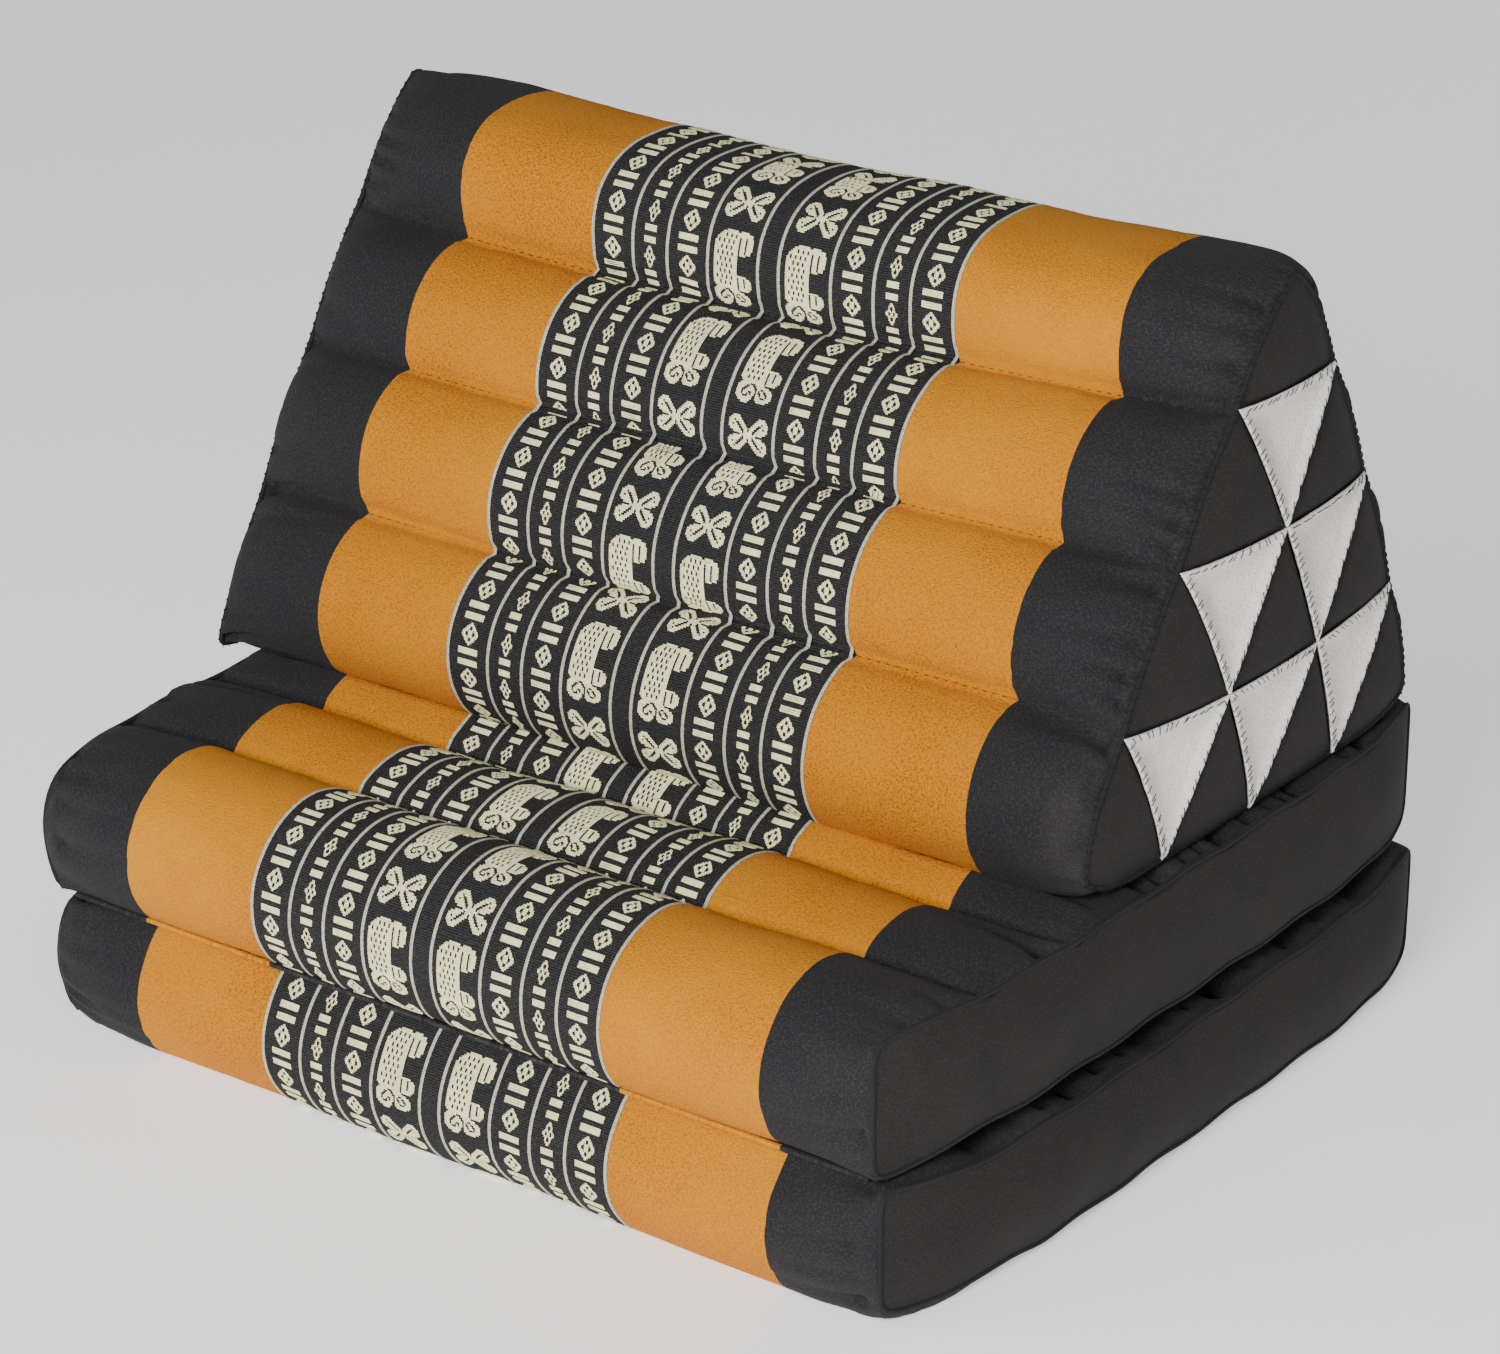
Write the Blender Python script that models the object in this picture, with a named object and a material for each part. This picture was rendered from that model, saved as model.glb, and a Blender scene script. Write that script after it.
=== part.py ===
"""Triangular Thai floor cushion: a stuffed backrest prism on a seat mat folded in two.

Every stuffed body is a plain prism or box whose points are moved onto the rolls of stuffing
between its sewn channels. Units are metres, +X to the sitter's left hand, +Y to the back, +Z up.
"""
import math

import bmesh
import bpy
from mathutils import Vector

# Gaps and cloth
GAP = 0.0003
CLOTH = 0.0015

# Seat mats, in the (y, z) plane of their section
MAT_CORNER_X = 0.249
MAT_FRONT_Y = -0.2355
MAT_BACK_Y = 0.2350
MAT_CHANNEL = 0.067
MAT_CHANNELS = 7
FIRST_VALLEY_Y = -0.167
FOLD_Z = 0.073
FOLD_Y = -0.230
FOLD_HALF = 0.0013
SIDE_BOW = 0.018
OUTER_ROLL = 0.0125
INNER_ROLL = 0.0110
BACK_EDGE_ROLL = 0.0100
SEAM_DIP = 0.0020
CORNER_DROP = 0.0040
PRESSED_FROM_Y = -0.075
# Side panels on the right and left: how far they swell between their seams, how squarely that
# fades towards the corners, and the share of the swell that the corners lose
SIDE_SWELL = {1: (0.0070, 8, 1.0), -1: (0.0130, 12, 0.3)}

# Where the rolls of every body start to round off towards its ends
ROUND_FROM_X = 0.190
MAT_END_POWER = 2.6
BACK_END_POWER = 3.4
# Stations along the rolls crowd towards the ends, where the rolls round off
STATION_POWER = 0.85

# Backrest prism: its ends, and the plane that it rests on
BACK_END_X = {1: 0.257, -1: 0.270}
REST_Z = 0.150

# Strips of seam allowance, in the crease at the front and behind the backrest
FRONT_SEAM_HALF = 0.244
FRONT_SEAM_Y = (-0.2375, -0.2290)
BACK_SEAM_HALF = 0.190
BACK_SEAM_Y = (0.2145, 0.2315)

# Points of each mesh
CHANNEL_STEPS = 4
MAT_WIDTH_STEPS = 14
MAT_SIDE_STEPS = 4
BACK_STEPS = 5
BACK_WIDTH_STEPS = 16

# Sewn valleys round the backrest's middle section, counted in channels from the apex
#          channel:  (y, z)
BACK_VALLEYS = {
    1: (0.0295, 0.3595),
    2: (-0.0180, 0.3010),
    3: (-0.0536, 0.2333),
    5: (-0.0120, 0.1580),
    6: (0.0650, 0.1600),
    7: (0.1420, 0.1580),
    9: (0.1950, 0.2290),
    10: (0.1630, 0.2950),
    11: (0.1290, 0.3600),
}
# Rolls of stuffing between them: first valley, last valley, height of the roll, fullness
BACK_ROLLS = (
    (1, 2, 0.0188, 0.0),
    (2, 3, 0.0190, 0.0),
    (3, 5, 0.0620, 0.0),
    (5, 6, 0.0120, 0.0),
    (6, 7, 0.0120, 0.0),
    (7, 9, 0.0610, 0.0),
    (9, 10, 0.0180, 0.0),
    (10, 11, 0.0180, 0.0),
    (11, 13, 0.0610, 0.0060),
)
# Sag of the ridge in its middle, and of all that lies under it in proportion
RIDGE_Z = 0.420
RIDGE_SAG = 0.008
# Corners of the right and left triangular ends, and how far each corner is rounded off
#        apex, front, back                                         roundings
ENDS = {
    1: (((0.088, 0.427), (-0.092, 0.158), (0.219, 0.157)), (0.000, 0.014, 0.008)),
    -1: (((0.078, 0.433), (-0.092, 0.155), (0.215, 0.157)), (0.000, 0.000, 0.008)),
}
END_BOW = 0.007
END_ROLL = 0.002
END_CROWN = 0.008
CELLS = 4
CELL_PUFF = 0.003
DISH_DEPTH = 0.009
DISH_LOW_POINT = (0.70, 0.16, 0.14)

COLOURS = {
    "black_cotton": ((0.020, 0.019, 0.021), 0.92),
    "white_cotton": ((0.72, 0.70, 0.66), 0.90),
}


def smooth_share(value, power):
    """Rises from 0 to 1 as a quarter round does, later for a larger power."""
    return 1.0 - math.sqrt(max(0.0, 1.0 - min(1.0, max(0.0, value)) ** power))


def roll_point(start, end, height, share, fullness=0.0):
    """A point on the round roll between two valleys, with the section's outside on its left."""
    start, end = Vector(start), Vector(end)
    chord = end - start
    half = chord.length / 2
    along = chord.normalized()
    outward = Vector((along.y, -along.x))
    if height < 1e-5:
        return start.lerp(end, share)
    radius = (half * half + height * height) / (2 * height)
    centre = (start + end) / 2 + outward * (height - radius)
    reach = math.asin(min(1.0, half / radius))
    if height > half:
        reach = math.pi - reach
    angle = reach * (2 * share - 1)
    radial = along * math.sin(angle) + outward * math.cos(angle)
    return centre + radial * (radius + fullness * math.sin(2 * math.pi * share) ** 2)


# Backrest

def back_section(place):
    """The middle section at a place counted in channels from the apex down the front."""
    place %= 12
    if place < 1:
        place += 12
    for first, last, height, fullness in BACK_ROLLS:
        if first <= place <= last:
            share = (place - first) / (last - first)
            valley = BACK_VALLEYS[last if last < 12 else last - 12]
            return roll_point(BACK_VALLEYS[first], valley, height, share, fullness)


def end_point(side, shares):
    """The flat triangular end at three shares that add up to 1, with its sides a little bowed."""
    corners, roundings = ENDS[side]
    corners = [Vector(corner) for corner in corners]
    middle = sum(corners, Vector((0, 0))) / 3
    point = sum((corner * share for corner, share in zip(corners, shares)), Vector((0, 0)))
    for first in range(3):
        second = (first + 1) % 3
        outward = ((corners[first] + corners[second]) / 2 - middle).normalized()
        on_rim = shares[first] + shares[second] > 0.999
        ripple = abs(math.sin(math.pi * CELLS * shares[second])) if on_rim else 0.0
        point += outward * (END_BOW * 4 * shares[first] * shares[second] + END_ROLL * ripple)
    for share, corner, rounding in zip(shares, corners, roundings):
        near = max(0.0, (share - 0.8) / 0.2)
        point += (middle - corner).normalized() * rounding * near * near
    return point


def cell_shares(apex, front, back):
    """Whether a point of the end lies in a patch that points down, and its shares of the cell."""
    down, across = (1 - apex) * CELLS, back * CELLS
    row, column = min(int(down + 1e-6), CELLS - 1), int(across + 1e-6)
    fall, along = down - row, across - column
    if column > row:
        column, along = row, 1.0
    if along <= fall + 1e-6:
        return False, (1 - fall, fall - along, along)
    return True, (1 - along, along - fall, fall)


def dish(shares):
    """How deep a white patch is drawn in: a lopsided pocket, deepest near its front upper corner."""
    return DISH_DEPTH * min(s / low for s, low in zip(shares, DISH_LOW_POINT))


def end_crown(shares):
    """How far the stuffing pushes out the whole end."""
    return END_CROWN * min(1.0, 27 * abs(shares[0] * shares[1] * shares[2])) ** 0.7


def end_lift(shares):
    """How far the end stands out from its plane: a crown, with puffed cells and drawn-in patches."""
    points_down, local = cell_shares(*shares)
    if points_down:
        return end_crown(shares) - dish(local)
    return end_crown(shares) + CELL_PUFF * min(1.0, 27 * local[0] * local[1] * local[2])


def back_corner_shares(point):
    """The shares of the prism's three edges at a point of its section."""
    corners = [Vector((math.cos(a), math.sin(a))) for a in prism_angles()]
    total = area(*corners)
    return tuple(
        area(point, corners[(i + 1) % 3], corners[(i + 2) % 3]) / total for i in range(3)
    )


def prism_angles():
    """Where create_cone puts three corners."""
    return [math.pi / 2 + 2 * math.pi * i / 3 for i in range(3)]


def area(a, b, c):
    """Twice the signed area of a triangle."""
    return (b.x - a.x) * (c.y - a.y) - (b.y - a.y) * (c.x - a.x)


def back_place(shares):
    """How many channels from the apex a point on the prism's side is, down the front first."""
    apex, front, back = shares
    if back < 1e-4:
        return CELLS * front / (apex + front)
    if apex < 1e-4:
        return CELLS + CELLS * back / (front + back)
    return 2 * CELLS + CELLS * apex / (back + apex)


def end_shares(place):
    """The three shares of the place on the rim of an end."""
    side, share = divmod(place % (3 * CELLS), CELLS)
    share /= CELLS
    return ((1 - share, share, 0), (0, 1 - share, share), (share, 0, 1 - share))[int(side)]


def backrest_point(shares, across):
    """Where a point of the plain prism lies on the stuffed backrest. across is from -1 to 1."""
    side = 1 if across > 0 else -1
    end_x = BACK_END_X[side]
    if abs(across) > 1 - 1e-6 and min(shares) > 1e-4:
        point = end_point(side, shares)
        return Vector((side * (end_x + end_lift(shares)), point.x, max(point.y, REST_Z + GAP)))
    x = end_x * math.sin(abs(across) * math.pi / 2) ** STATION_POWER
    round_off = (x - ROUND_FROM_X) / (end_x - ROUND_FROM_X)
    place = back_place(shares)
    middle = back_section(place)
    middle.y -= RIDGE_SAG * (0.5 - (x / end_x) ** 2) * (middle.y - REST_Z) / (RIDGE_Z - REST_Z)
    rim = end_point(side, end_shares(place))
    point = middle.lerp(rim, smooth_share(round_off, BACK_END_POWER))
    return Vector((side * x, point.x, max(point.y, REST_Z + GAP)))


def edges_along(bm, axis):
    """The edges of a bmesh that run along one axis."""
    others = [i for i in range(3) if i != axis]
    return [
        e for e in bm.edges
        if all(abs(e.verts[0].co[i] - e.verts[1].co[i]) < 1e-6 for i in others)
    ]


def add_object(name, bm, colour):
    """Turns a bmesh into an object of the cushion with its cotton."""
    bmesh.ops.recalc_face_normals(bm, faces=bm.faces)
    if bm.calc_volume(signed=True) < 0:
        bmesh.ops.reverse_faces(bm, faces=bm.faces)
    mesh = bpy.data.meshes.new(name)
    bm.to_mesh(mesh)
    bm.free()
    mesh.shade_smooth()
    mesh.materials.append(colour)
    thing = bpy.data.objects.new(name, mesh)
    bpy.data.collections["thai_triangle_cushion"].objects.link(thing)
    return thing


def make_backrest(colour):
    """The prism: two triangular patchwork ends, and rolls of stuffing from end to end."""
    bm = bmesh.new()
    bmesh.ops.create_cone(
        bm, cap_ends=True, segments=3, radius1=1.0, radius2=1.0, depth=2.0
    )
    bm.verts.ensure_lookup_table()
    turn = prism_angles()[0] - math.atan2(bm.verts[0].co.y, bm.verts[0].co.x)
    for vert in bm.verts:
        x, y = vert.co.xy
        vert.co.xy = (
            x * math.cos(turn) - y * math.sin(turn),
            x * math.sin(turn) + y * math.cos(turn),
        )
    bmesh.ops.subdivide_edges(
        bm, edges=edges_along(bm, 2), cuts=BACK_WIDTH_STEPS - 1, use_grid_fill=True
    )
    around = [e for e in bm.edges if abs(e.verts[0].co.z - e.verts[1].co.z) < 1e-6]
    bmesh.ops.subdivide_edges(
        bm, edges=around, cuts=CELLS * BACK_STEPS - 1, use_grid_fill=True
    )
    for vert in bm.verts:
        shares = back_corner_shares(vert.co.xy)
        vert.co = backrest_point(shares, vert.co.z)
    return add_object("backrest", bm, colour)


def node_shares(row, column):
    """The shares of a corner of the patchwork grid."""
    back = column / CELLS
    apex = 1 - row / CELLS
    return Vector((apex, 1 - apex - back, back))


def make_patch(name, side, row, column, colour):
    """One white patch: cloth that lines the pocket between the rows of black cells."""
    corners = [
        node_shares(row, column), node_shares(row, column + 1), node_shares(row + 1, column + 1)
    ]
    bm = bmesh.new()
    bmesh.ops.create_circle(bm, cap_ends=True, segments=3, radius=1.0)
    plain = [v.co.xy.copy() for v in bm.verts]
    total = area(*plain)
    bmesh.ops.subdivide_edges(bm, edges=bm.edges[:], cuts=BACK_STEPS - 1, use_grid_fill=True)
    for vert in bm.verts:
        spot = vert.co.xy
        local = [area(spot, plain[(i + 1) % 3], plain[(i + 2) % 3]) / total for i in range(3)]
        shares = corners[0] * local[0] + corners[1] * local[1] + corners[2] * local[2]
        place = end_point(side, [max(0.0, s) for s in shares])
        x = BACK_END_X[side] + end_crown(shares) - dish([max(0.0, s) for s in local]) + GAP
        vert.co = Vector((side * x, place.x, max(place.y, REST_Z + 2 * GAP)))
    # The three tips stop short of the next patch, still in the plane of their own facet.
    tips = [v for v in bm.verts if len(v.link_faces) == 1]
    targets = {v: sum((e.other_vert(v).co for e in v.link_edges), Vector()) / 2 for v in tips}
    for vert, target in targets.items():
        vert.co = vert.co.lerp(target, 0.3)
    top = bmesh.ops.extrude_face_region(bm, geom=bm.faces[:])["geom"]
    lifted = [g for g in top if isinstance(g, bmesh.types.BMVert)]
    bmesh.ops.translate(bm, verts=lifted, vec=Vector((side * CLOTH, 0, 0)))
    return add_object(name, bm, colour)


# Seat mats

class Mat:
    """One of the two stuffed mats, as the section of its rolls and the seams of its sides.

    The outer face is the one that is sat on: the top of the upper mat, and the underside of the
    lower one, which is folded beneath. up is 1 for the upper mat and -1 for the lower one.
    """

    def __init__(self, name, up, first_valley, outer_valley_z, inner_valley_z, side_outer_z,
                 side_inner_z, front_roll, left_drop):
        self.name = name
        self.up = up
        self.first_valley = Vector(first_valley)
        self.outer_valley_z = outer_valley_z
        self.inner_valley_z = inner_valley_z
        self.side_outer_z = side_outer_z
        self.side_inner_z = side_inner_z
        self.front_roll = front_roll
        self.left_drop = left_drop
        self.fold = Vector((FOLD_Y, FOLD_Z + up * FOLD_HALF))
        self.back_outer = Vector((MAT_BACK_Y, side_outer_z))
        self.back_inner = Vector((MAT_BACK_Y, side_inner_z))

    def valley_y(self, channel):
        """Where a sewn valley runs, counted from the front."""
        return FIRST_VALLEY_Y + MAT_CHANNEL * (channel - 1)

    def valley(self, channel, outer):
        """A valley of the outer or inner face as (y, z), or the seam at the back edge."""
        if channel >= MAT_CHANNELS:
            return self.back_outer if outer else self.back_inner
        if outer and channel == 1:
            return self.first_valley
        z = self.outer_valley_z if outer else self.inner_valley_z
        return Vector((self.valley_y(channel), z))

    def front(self, share):
        """The big front roll, from the fold (0) round to the first outer valley (1)."""
        height, fullness = self.front_roll
        first = self.valley(1, True)
        if self.up > 0:
            return roll_point(first, self.fold, height, 1 - share, fullness)
        return roll_point(self.fold, first, height, share, fullness)

    def face(self, place, outer):
        """The outer or inner face at a place counted in channels from the front edge."""
        if outer and place < 1:
            return self.front(0.5 + place / 2)
        channel = min(int(place), MAT_CHANNELS - 1)
        start = self.fold if channel == 0 else self.valley(channel, outer)
        end = self.valley(channel + 1, outer)
        height = OUTER_ROLL if outer else INNER_ROLL
        if outer == (self.up > 0):
            return roll_point(end, start, height, 1 - (place - channel))
        return roll_point(start, end, height, place - channel)

    def back(self, height_share):
        """The back edge, from its inner seam (0) to its outer seam (1)."""
        if self.up > 0:
            return roll_point(self.back_inner, self.back_outer, BACK_EDGE_ROLL, height_share)
        return roll_point(self.back_outer, self.back_inner, BACK_EDGE_ROLL, 1 - height_share)

    def side_seam(self, place, outer):
        """The seam round the side panel at a place in channels from the front, as (y, z)."""
        if place >= 1:
            y = self.valley(int(place), outer).x
            if place < MAT_CHANNELS:
                y += (self.valley(int(place) + 1, outer).x - y) * (place - int(place))
        else:
            y = MAT_FRONT_Y + (self.valley(1, outer).x - MAT_FRONT_Y) * place
        dip = SEAM_DIP * (0.5 + 0.5 * math.cos(2 * math.pi * place)) if place > 0.5 else 0.0
        if outer:
            z = self.side_outer_z - self.up * (dip + CORNER_DROP * (1 - min(1.0, place)) ** 2)
        else:
            rise = 1 - (1 - min(1.0, place)) ** 2
            z = self.fold.y + (self.side_inner_z - self.fold.y) * rise + self.up * dip
        return Vector((y, z))

    def side(self, hand, place, height_share):
        """A point of the right (1) or left (-1) side panel as (x, y, z), with x taken positive."""
        inner, outer = self.side_seam(place, False), self.side_seam(place, True)
        if hand < 0:
            outer.y -= self.left_drop
        point = inner.lerp(outer, height_share)
        depth = 2 * place / MAT_CHANNELS - 1
        bow = SIDE_BOW * (1 - abs(depth) ** 5)
        most, squareness, lost = SIDE_SWELL[hand]
        swell = most * (1 - (2 * height_share - 1) ** 2) * (1 - lost * abs(depth) ** squareness)
        return Vector((MAT_CORNER_X + bow + swell, point.x, point.y))

    def point(self, u, v, w):
        """Where a point of the plain box, from -1 to 1 each way, lies on the stuffed mat."""
        place, height_share = (v + 1) / 2 * MAT_CHANNELS, (w * self.up + 1) / 2
        if abs(place - round(place)) < 1e-5:
            place = round(place)
        edge = self.side(1 if u > 0 else -1, place, height_share)
        if abs(u) < 1 - 1e-6:
            if abs(w) > 1 - 1e-6:
                middle = self.face(place, height_share > 0.5)
            elif v < 0:
                middle = self.front(height_share / 2)
            else:
                middle = self.back(height_share)
            x = edge.x * math.sin(abs(u) * math.pi / 2) ** STATION_POWER
            turn = smooth_share((x - ROUND_FROM_X) / (edge.x - ROUND_FROM_X), MAT_END_POWER)
            point = middle.lerp(edge.yz, turn)
            edge = Vector((x, point.x, point.y))
        return Vector((math.copysign(edge.x, u), edge.y, self.limited(edge.y, edge.z)))

    def limited(self, y, z):
        """Pressed flat by the floor, by the other mat and by the backrest."""
        if self.up > 0:
            return max(FOLD_Z + GAP / 2, min(z, REST_Z if y > PRESSED_FROM_Y else z))
        return min(FOLD_Z - GAP / 2, max(z, 0.0))

    def make(self, colour):
        """Moves a subdivided box onto the mat."""
        bm = bmesh.new()
        bmesh.ops.create_cube(bm, size=2.0)
        steps = (MAT_WIDTH_STEPS, MAT_CHANNELS * CHANNEL_STEPS, MAT_SIDE_STEPS)
        for axis, count in enumerate(steps):
            bmesh.ops.subdivide_edges(
                bm, edges=edges_along(bm, axis), cuts=count - 1, use_grid_fill=True
            )
        for vert in bm.verts:
            vert.co = self.point(*vert.co)
        return add_object(self.name, bm, colour)


UPPER_MAT = Mat(
    "upper_mat", up=1, first_valley=(-0.167, 0.141), outer_valley_z=0.141, inner_valley_z=0.085,
    side_outer_z=0.147, side_inner_z=0.083, front_roll=(0.0465, 0.0), left_drop=0.006,
)
LOWER_MAT = Mat(
    "lower_mat", up=-1, first_valley=(-0.153, 0.008), outer_valley_z=0.008, inner_valley_z=0.061,
    side_outer_z=0.004, side_inner_z=0.060, front_roll=(0.0545, 0.003), left_drop=0.0,
)


# Seams that join the bodies

def make_seam(name, half_width, y_range, z_range, colour):
    """A strip of seam allowance, several layers of cloth sewn flat, in the crease of a fold."""
    bm = bmesh.new()
    bmesh.ops.create_cube(bm, size=1.0)
    bmesh.ops.subdivide_edges(
        bm, edges=edges_along(bm, 0), cuts=MAT_WIDTH_STEPS - 1, use_grid_fill=True
    )
    for vert in bm.verts:
        u, v, w = vert.co
        y = y_range[0] + (y_range[1] - y_range[0]) * (v + 0.5)
        z = z_range[0] + (z_range[1] - z_range[0]) * (w + 0.5)
        vert.co = Vector((2 * u * half_width, y, z))
    return add_object(name, bm, colour)


def cotton(name):
    """A plain cotton material."""
    colour, roughness = COLOURS[name]
    material = bpy.data.materials.new(name)
    material.use_nodes = True
    shader = material.node_tree.nodes["Principled BSDF"]
    shader.inputs["Base Color"].default_value = (*colour, 1.0)
    shader.inputs["Roughness"].default_value = roughness
    shader.inputs["Metallic"].default_value = 0.0
    return material


def centre_on_floor(things):
    """Puts the middle of the cushion's outline over the origin."""
    xs = [v.co.x for thing in things for v in thing.data.vertices]
    ys = [v.co.y for thing in things for v in thing.data.vertices]
    shift = Vector((-(min(xs) + max(xs)) / 2, -(min(ys) + max(ys)) / 2, 0))
    for thing in things:
        for vert in thing.data.vertices:
            vert.co += shift
    print("centred by", tuple(round(s, 5) for s in shift), "m")


def main():
    """Builds the cushion."""
    for thing in list(bpy.data.objects):
        bpy.data.objects.remove(thing)
    bpy.context.scene.collection.children.link(
        bpy.data.collections.new("thai_triangle_cushion")
    )
    black, white = cotton("black_cotton"), cotton("white_cotton")
    things = [make_backrest(black), UPPER_MAT.make(black), LOWER_MAT.make(black)]
    lips = FOLD_HALF - GAP
    things.append(make_seam(
        "front_fold_seam", FRONT_SEAM_HALF, FRONT_SEAM_Y, (FOLD_Z - lips, FOLD_Z + lips), black
    ))
    things.append(make_seam(
        "back_fold_seam", BACK_SEAM_HALF, BACK_SEAM_Y, (REST_Z + GAP, REST_Z + GAP + CLOTH), black
    ))
    for side, hand in ((1, "right"), (-1, "left")):
        cells = [(row, column) for row in range(1, CELLS) for column in range(row)]
        for number, (row, column) in enumerate(cells, 1):
            things.append(make_patch(f"patch_{hand}_{number}", side, row, column, white))
    centre_on_floor(things)


main()
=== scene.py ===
"""Looks of a triangular Thai floor cushion: covers, woven band, patchwork ends, seams and stitches.

Units are metres, +X to the sitter's left hand, +Y to the back, +Z up. The rolls of stuffing follow
the same sections as the solids of the frame, with finer points.
"""

import logging
import math
from collections.abc import Callable
from dataclasses import dataclass, field
from enum import Enum

import bmesh
import bpy
import numpy as np
from mathutils import Matrix, Vector, noise
from mathutils.bvhtree import BVHTree

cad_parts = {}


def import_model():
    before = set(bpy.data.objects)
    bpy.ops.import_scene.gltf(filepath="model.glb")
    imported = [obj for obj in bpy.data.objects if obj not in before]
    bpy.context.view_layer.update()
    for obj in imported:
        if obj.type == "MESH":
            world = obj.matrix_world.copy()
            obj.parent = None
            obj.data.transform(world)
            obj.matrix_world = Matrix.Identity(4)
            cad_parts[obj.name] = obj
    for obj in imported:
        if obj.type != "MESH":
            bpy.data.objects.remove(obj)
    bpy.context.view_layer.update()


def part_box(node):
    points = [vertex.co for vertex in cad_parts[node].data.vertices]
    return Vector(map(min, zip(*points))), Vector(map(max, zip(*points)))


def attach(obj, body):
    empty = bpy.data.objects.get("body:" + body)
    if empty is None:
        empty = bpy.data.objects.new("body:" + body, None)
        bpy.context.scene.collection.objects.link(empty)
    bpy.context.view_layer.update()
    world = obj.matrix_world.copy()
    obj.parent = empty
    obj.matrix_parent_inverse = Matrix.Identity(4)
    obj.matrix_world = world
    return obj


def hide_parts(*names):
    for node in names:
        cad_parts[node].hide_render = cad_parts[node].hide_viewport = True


LOG = logging.getLogger("cushion")

BODY = "root"
# From the frame in which the sections are drawn to the frame whose origin is under the middle
CENTRING = Vector((0.00327, 0.00118, 0.0))
# Clear of the floor and of what is pressed against a cover, so that raised yarn fits between
PRESS_CLEARANCE = 0.0006
GAP = 0.0003
HANDS = {1: "right", -1: "left"}
# Plain forms, before they are stuffed, run from -1 to 1: what is nearer than this is the same
SAME = 1e-6


class Cloth(Enum):
    """The kinds of cloth and thread."""

    BLACK = "black_cotton"
    ORANGE = "orange_cotton"
    BAND = "woven_band"
    CREAM = "cream_yarn"
    WHITE = "white_cotton"
    THREAD = "sewing_thread"


class Panel(Enum):
    """The panels of a cover, by their material index."""

    BLACK = 0
    ORANGE = 1
    BAND = 2
    END = 3


def smooth_share(value: float, power: float) -> float:
    """Rises from 0 to 1 as a quarter round does.

    Args:
        value: How far along, from 0 to 1.
        power: A larger power rises later.

    Returns:
        The share, from 0 to 1.
    """
    return 1.0 - math.sqrt(max(0.0, 1.0 - min(1.0, max(0.0, value)) ** power))


def roll_point(start: Vector, end: Vector, height: float, share: float,
               fullness: float = 0.0) -> Vector:
    """A point on the round roll of stuffing between two valleys.

    Args:
        start: First valley as (y, z), with the outside on the right of the way to the end.
        end: Second valley as (y, z).
        height: Rise of the roll over the straight line between them.
        share: How far round the roll, from 0 to 1.
        fullness: What a pressed roll swells by between its middle and its valleys.

    Returns:
        The point as (y, z).
    """
    start, end = Vector(start), Vector(end)
    chord = end - start
    half = chord.length / 2
    along = chord.normalized()
    outward = Vector((along.y, -along.x))
    radius = (half * half + height * height) / (2 * height)
    centre = (start + end) / 2 + outward * (height - radius)
    reach = math.asin(min(1.0, half / radius))
    if height > half:
        reach = math.pi - reach
    angle = reach * (2 * share - 1)
    radial = along * math.sin(angle) + outward * math.cos(angle)
    return centre + radial * (radius + fullness * math.sin(2 * math.pi * share) ** 2)


def at_end(*places: float) -> bool:
    """Whether places on a plain form, from -1 to 1, all lie at its ends."""
    return all(abs(place) > 1 - SAME for place in places)


def edges_along(bm: bmesh.types.BMesh, axis: int) -> list[bmesh.types.BMEdge]:
    """The edges that run along one axis.

    Args:
        bm: A plain box or prism.
        axis: 0, 1 or 2.

    Returns:
        Its edges along that axis.
    """
    others = [i for i in range(3) if i != axis]
    return [
        e for e in bm.edges
        if all(abs(e.verts[0].co[i] - e.verts[1].co[i]) < SAME for i in others)
    ]


def corner_shares(point: Vector, corners: list[Vector]) -> tuple[float, float, float]:
    """The shares of three corners at a point of their triangle.

    Args:
        point: The point as (x, y).
        corners: The corners as (x, y).

    Returns:
        Three shares that add up to 1.
    """
    def area(a: Vector, b: Vector, c: Vector) -> float:
        """Twice the signed area of a triangle."""
        return (b.x - a.x) * (c.y - a.y) - (b.y - a.y) * (c.x - a.x)
    total = area(*corners)
    return tuple(area(point, corners[(i + 1) % 3], corners[(i + 2) % 3]) / total
                 for i in range(3))


def mesh_of(name: str, bm: bmesh.types.BMesh) -> bpy.types.Mesh:
    """Turns a bmesh into a mesh, and frees it.

    Args:
        name: The mesh's name.
        bm: The bmesh.

    Returns:
        The mesh.
    """
    mesh = bpy.data.meshes.new(name)
    bm.to_mesh(mesh)
    bm.free()
    return mesh


def add_piece(name: str, bm: bmesh.types.BMesh, finishes: list[bpy.types.Material],
              turn_out: bool = True) -> bpy.types.Object:
    """Turns a bmesh into a smooth object at the origin.

    Args:
        name: The piece's name.
        bm: Its mesh, which is freed.
        finishes: Its materials, by index.
        turn_out: Whether its faces are turned to point outwards.

    Returns:
        The object.
    """
    if turn_out:
        bmesh.ops.recalc_face_normals(bm, faces=bm.faces)
        if bm.calc_volume(signed=True) < 0:
            bmesh.ops.reverse_faces(bm, faces=bm.faces)
    mesh = mesh_of(name, bm)
    mesh.shade_smooth()
    for finish in finishes:
        mesh.materials.append(finish)
    piece = bpy.data.objects.new(name, mesh)
    bpy.context.scene.collection.objects.link(piece)
    return piece


def hand_over(piece: bpy.types.Object, cloth: Cloth, *nodes: str) -> bpy.types.Object:
    """Hangs a finished piece on the body that it rides on, hides the nodes of the frame that it
    stands for, and logs its faces.

    Args:
        piece: The finished piece.
        cloth: Its main cloth. Not used.
        nodes: The nodes of the frame that it replaces.

    Returns:
        The piece.
    """
    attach(piece, BODY)
    if nodes:
        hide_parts(*nodes)
    LOG.info("%s: %d faces", piece.name, len(piece.data.polygons))
    return piece


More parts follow.
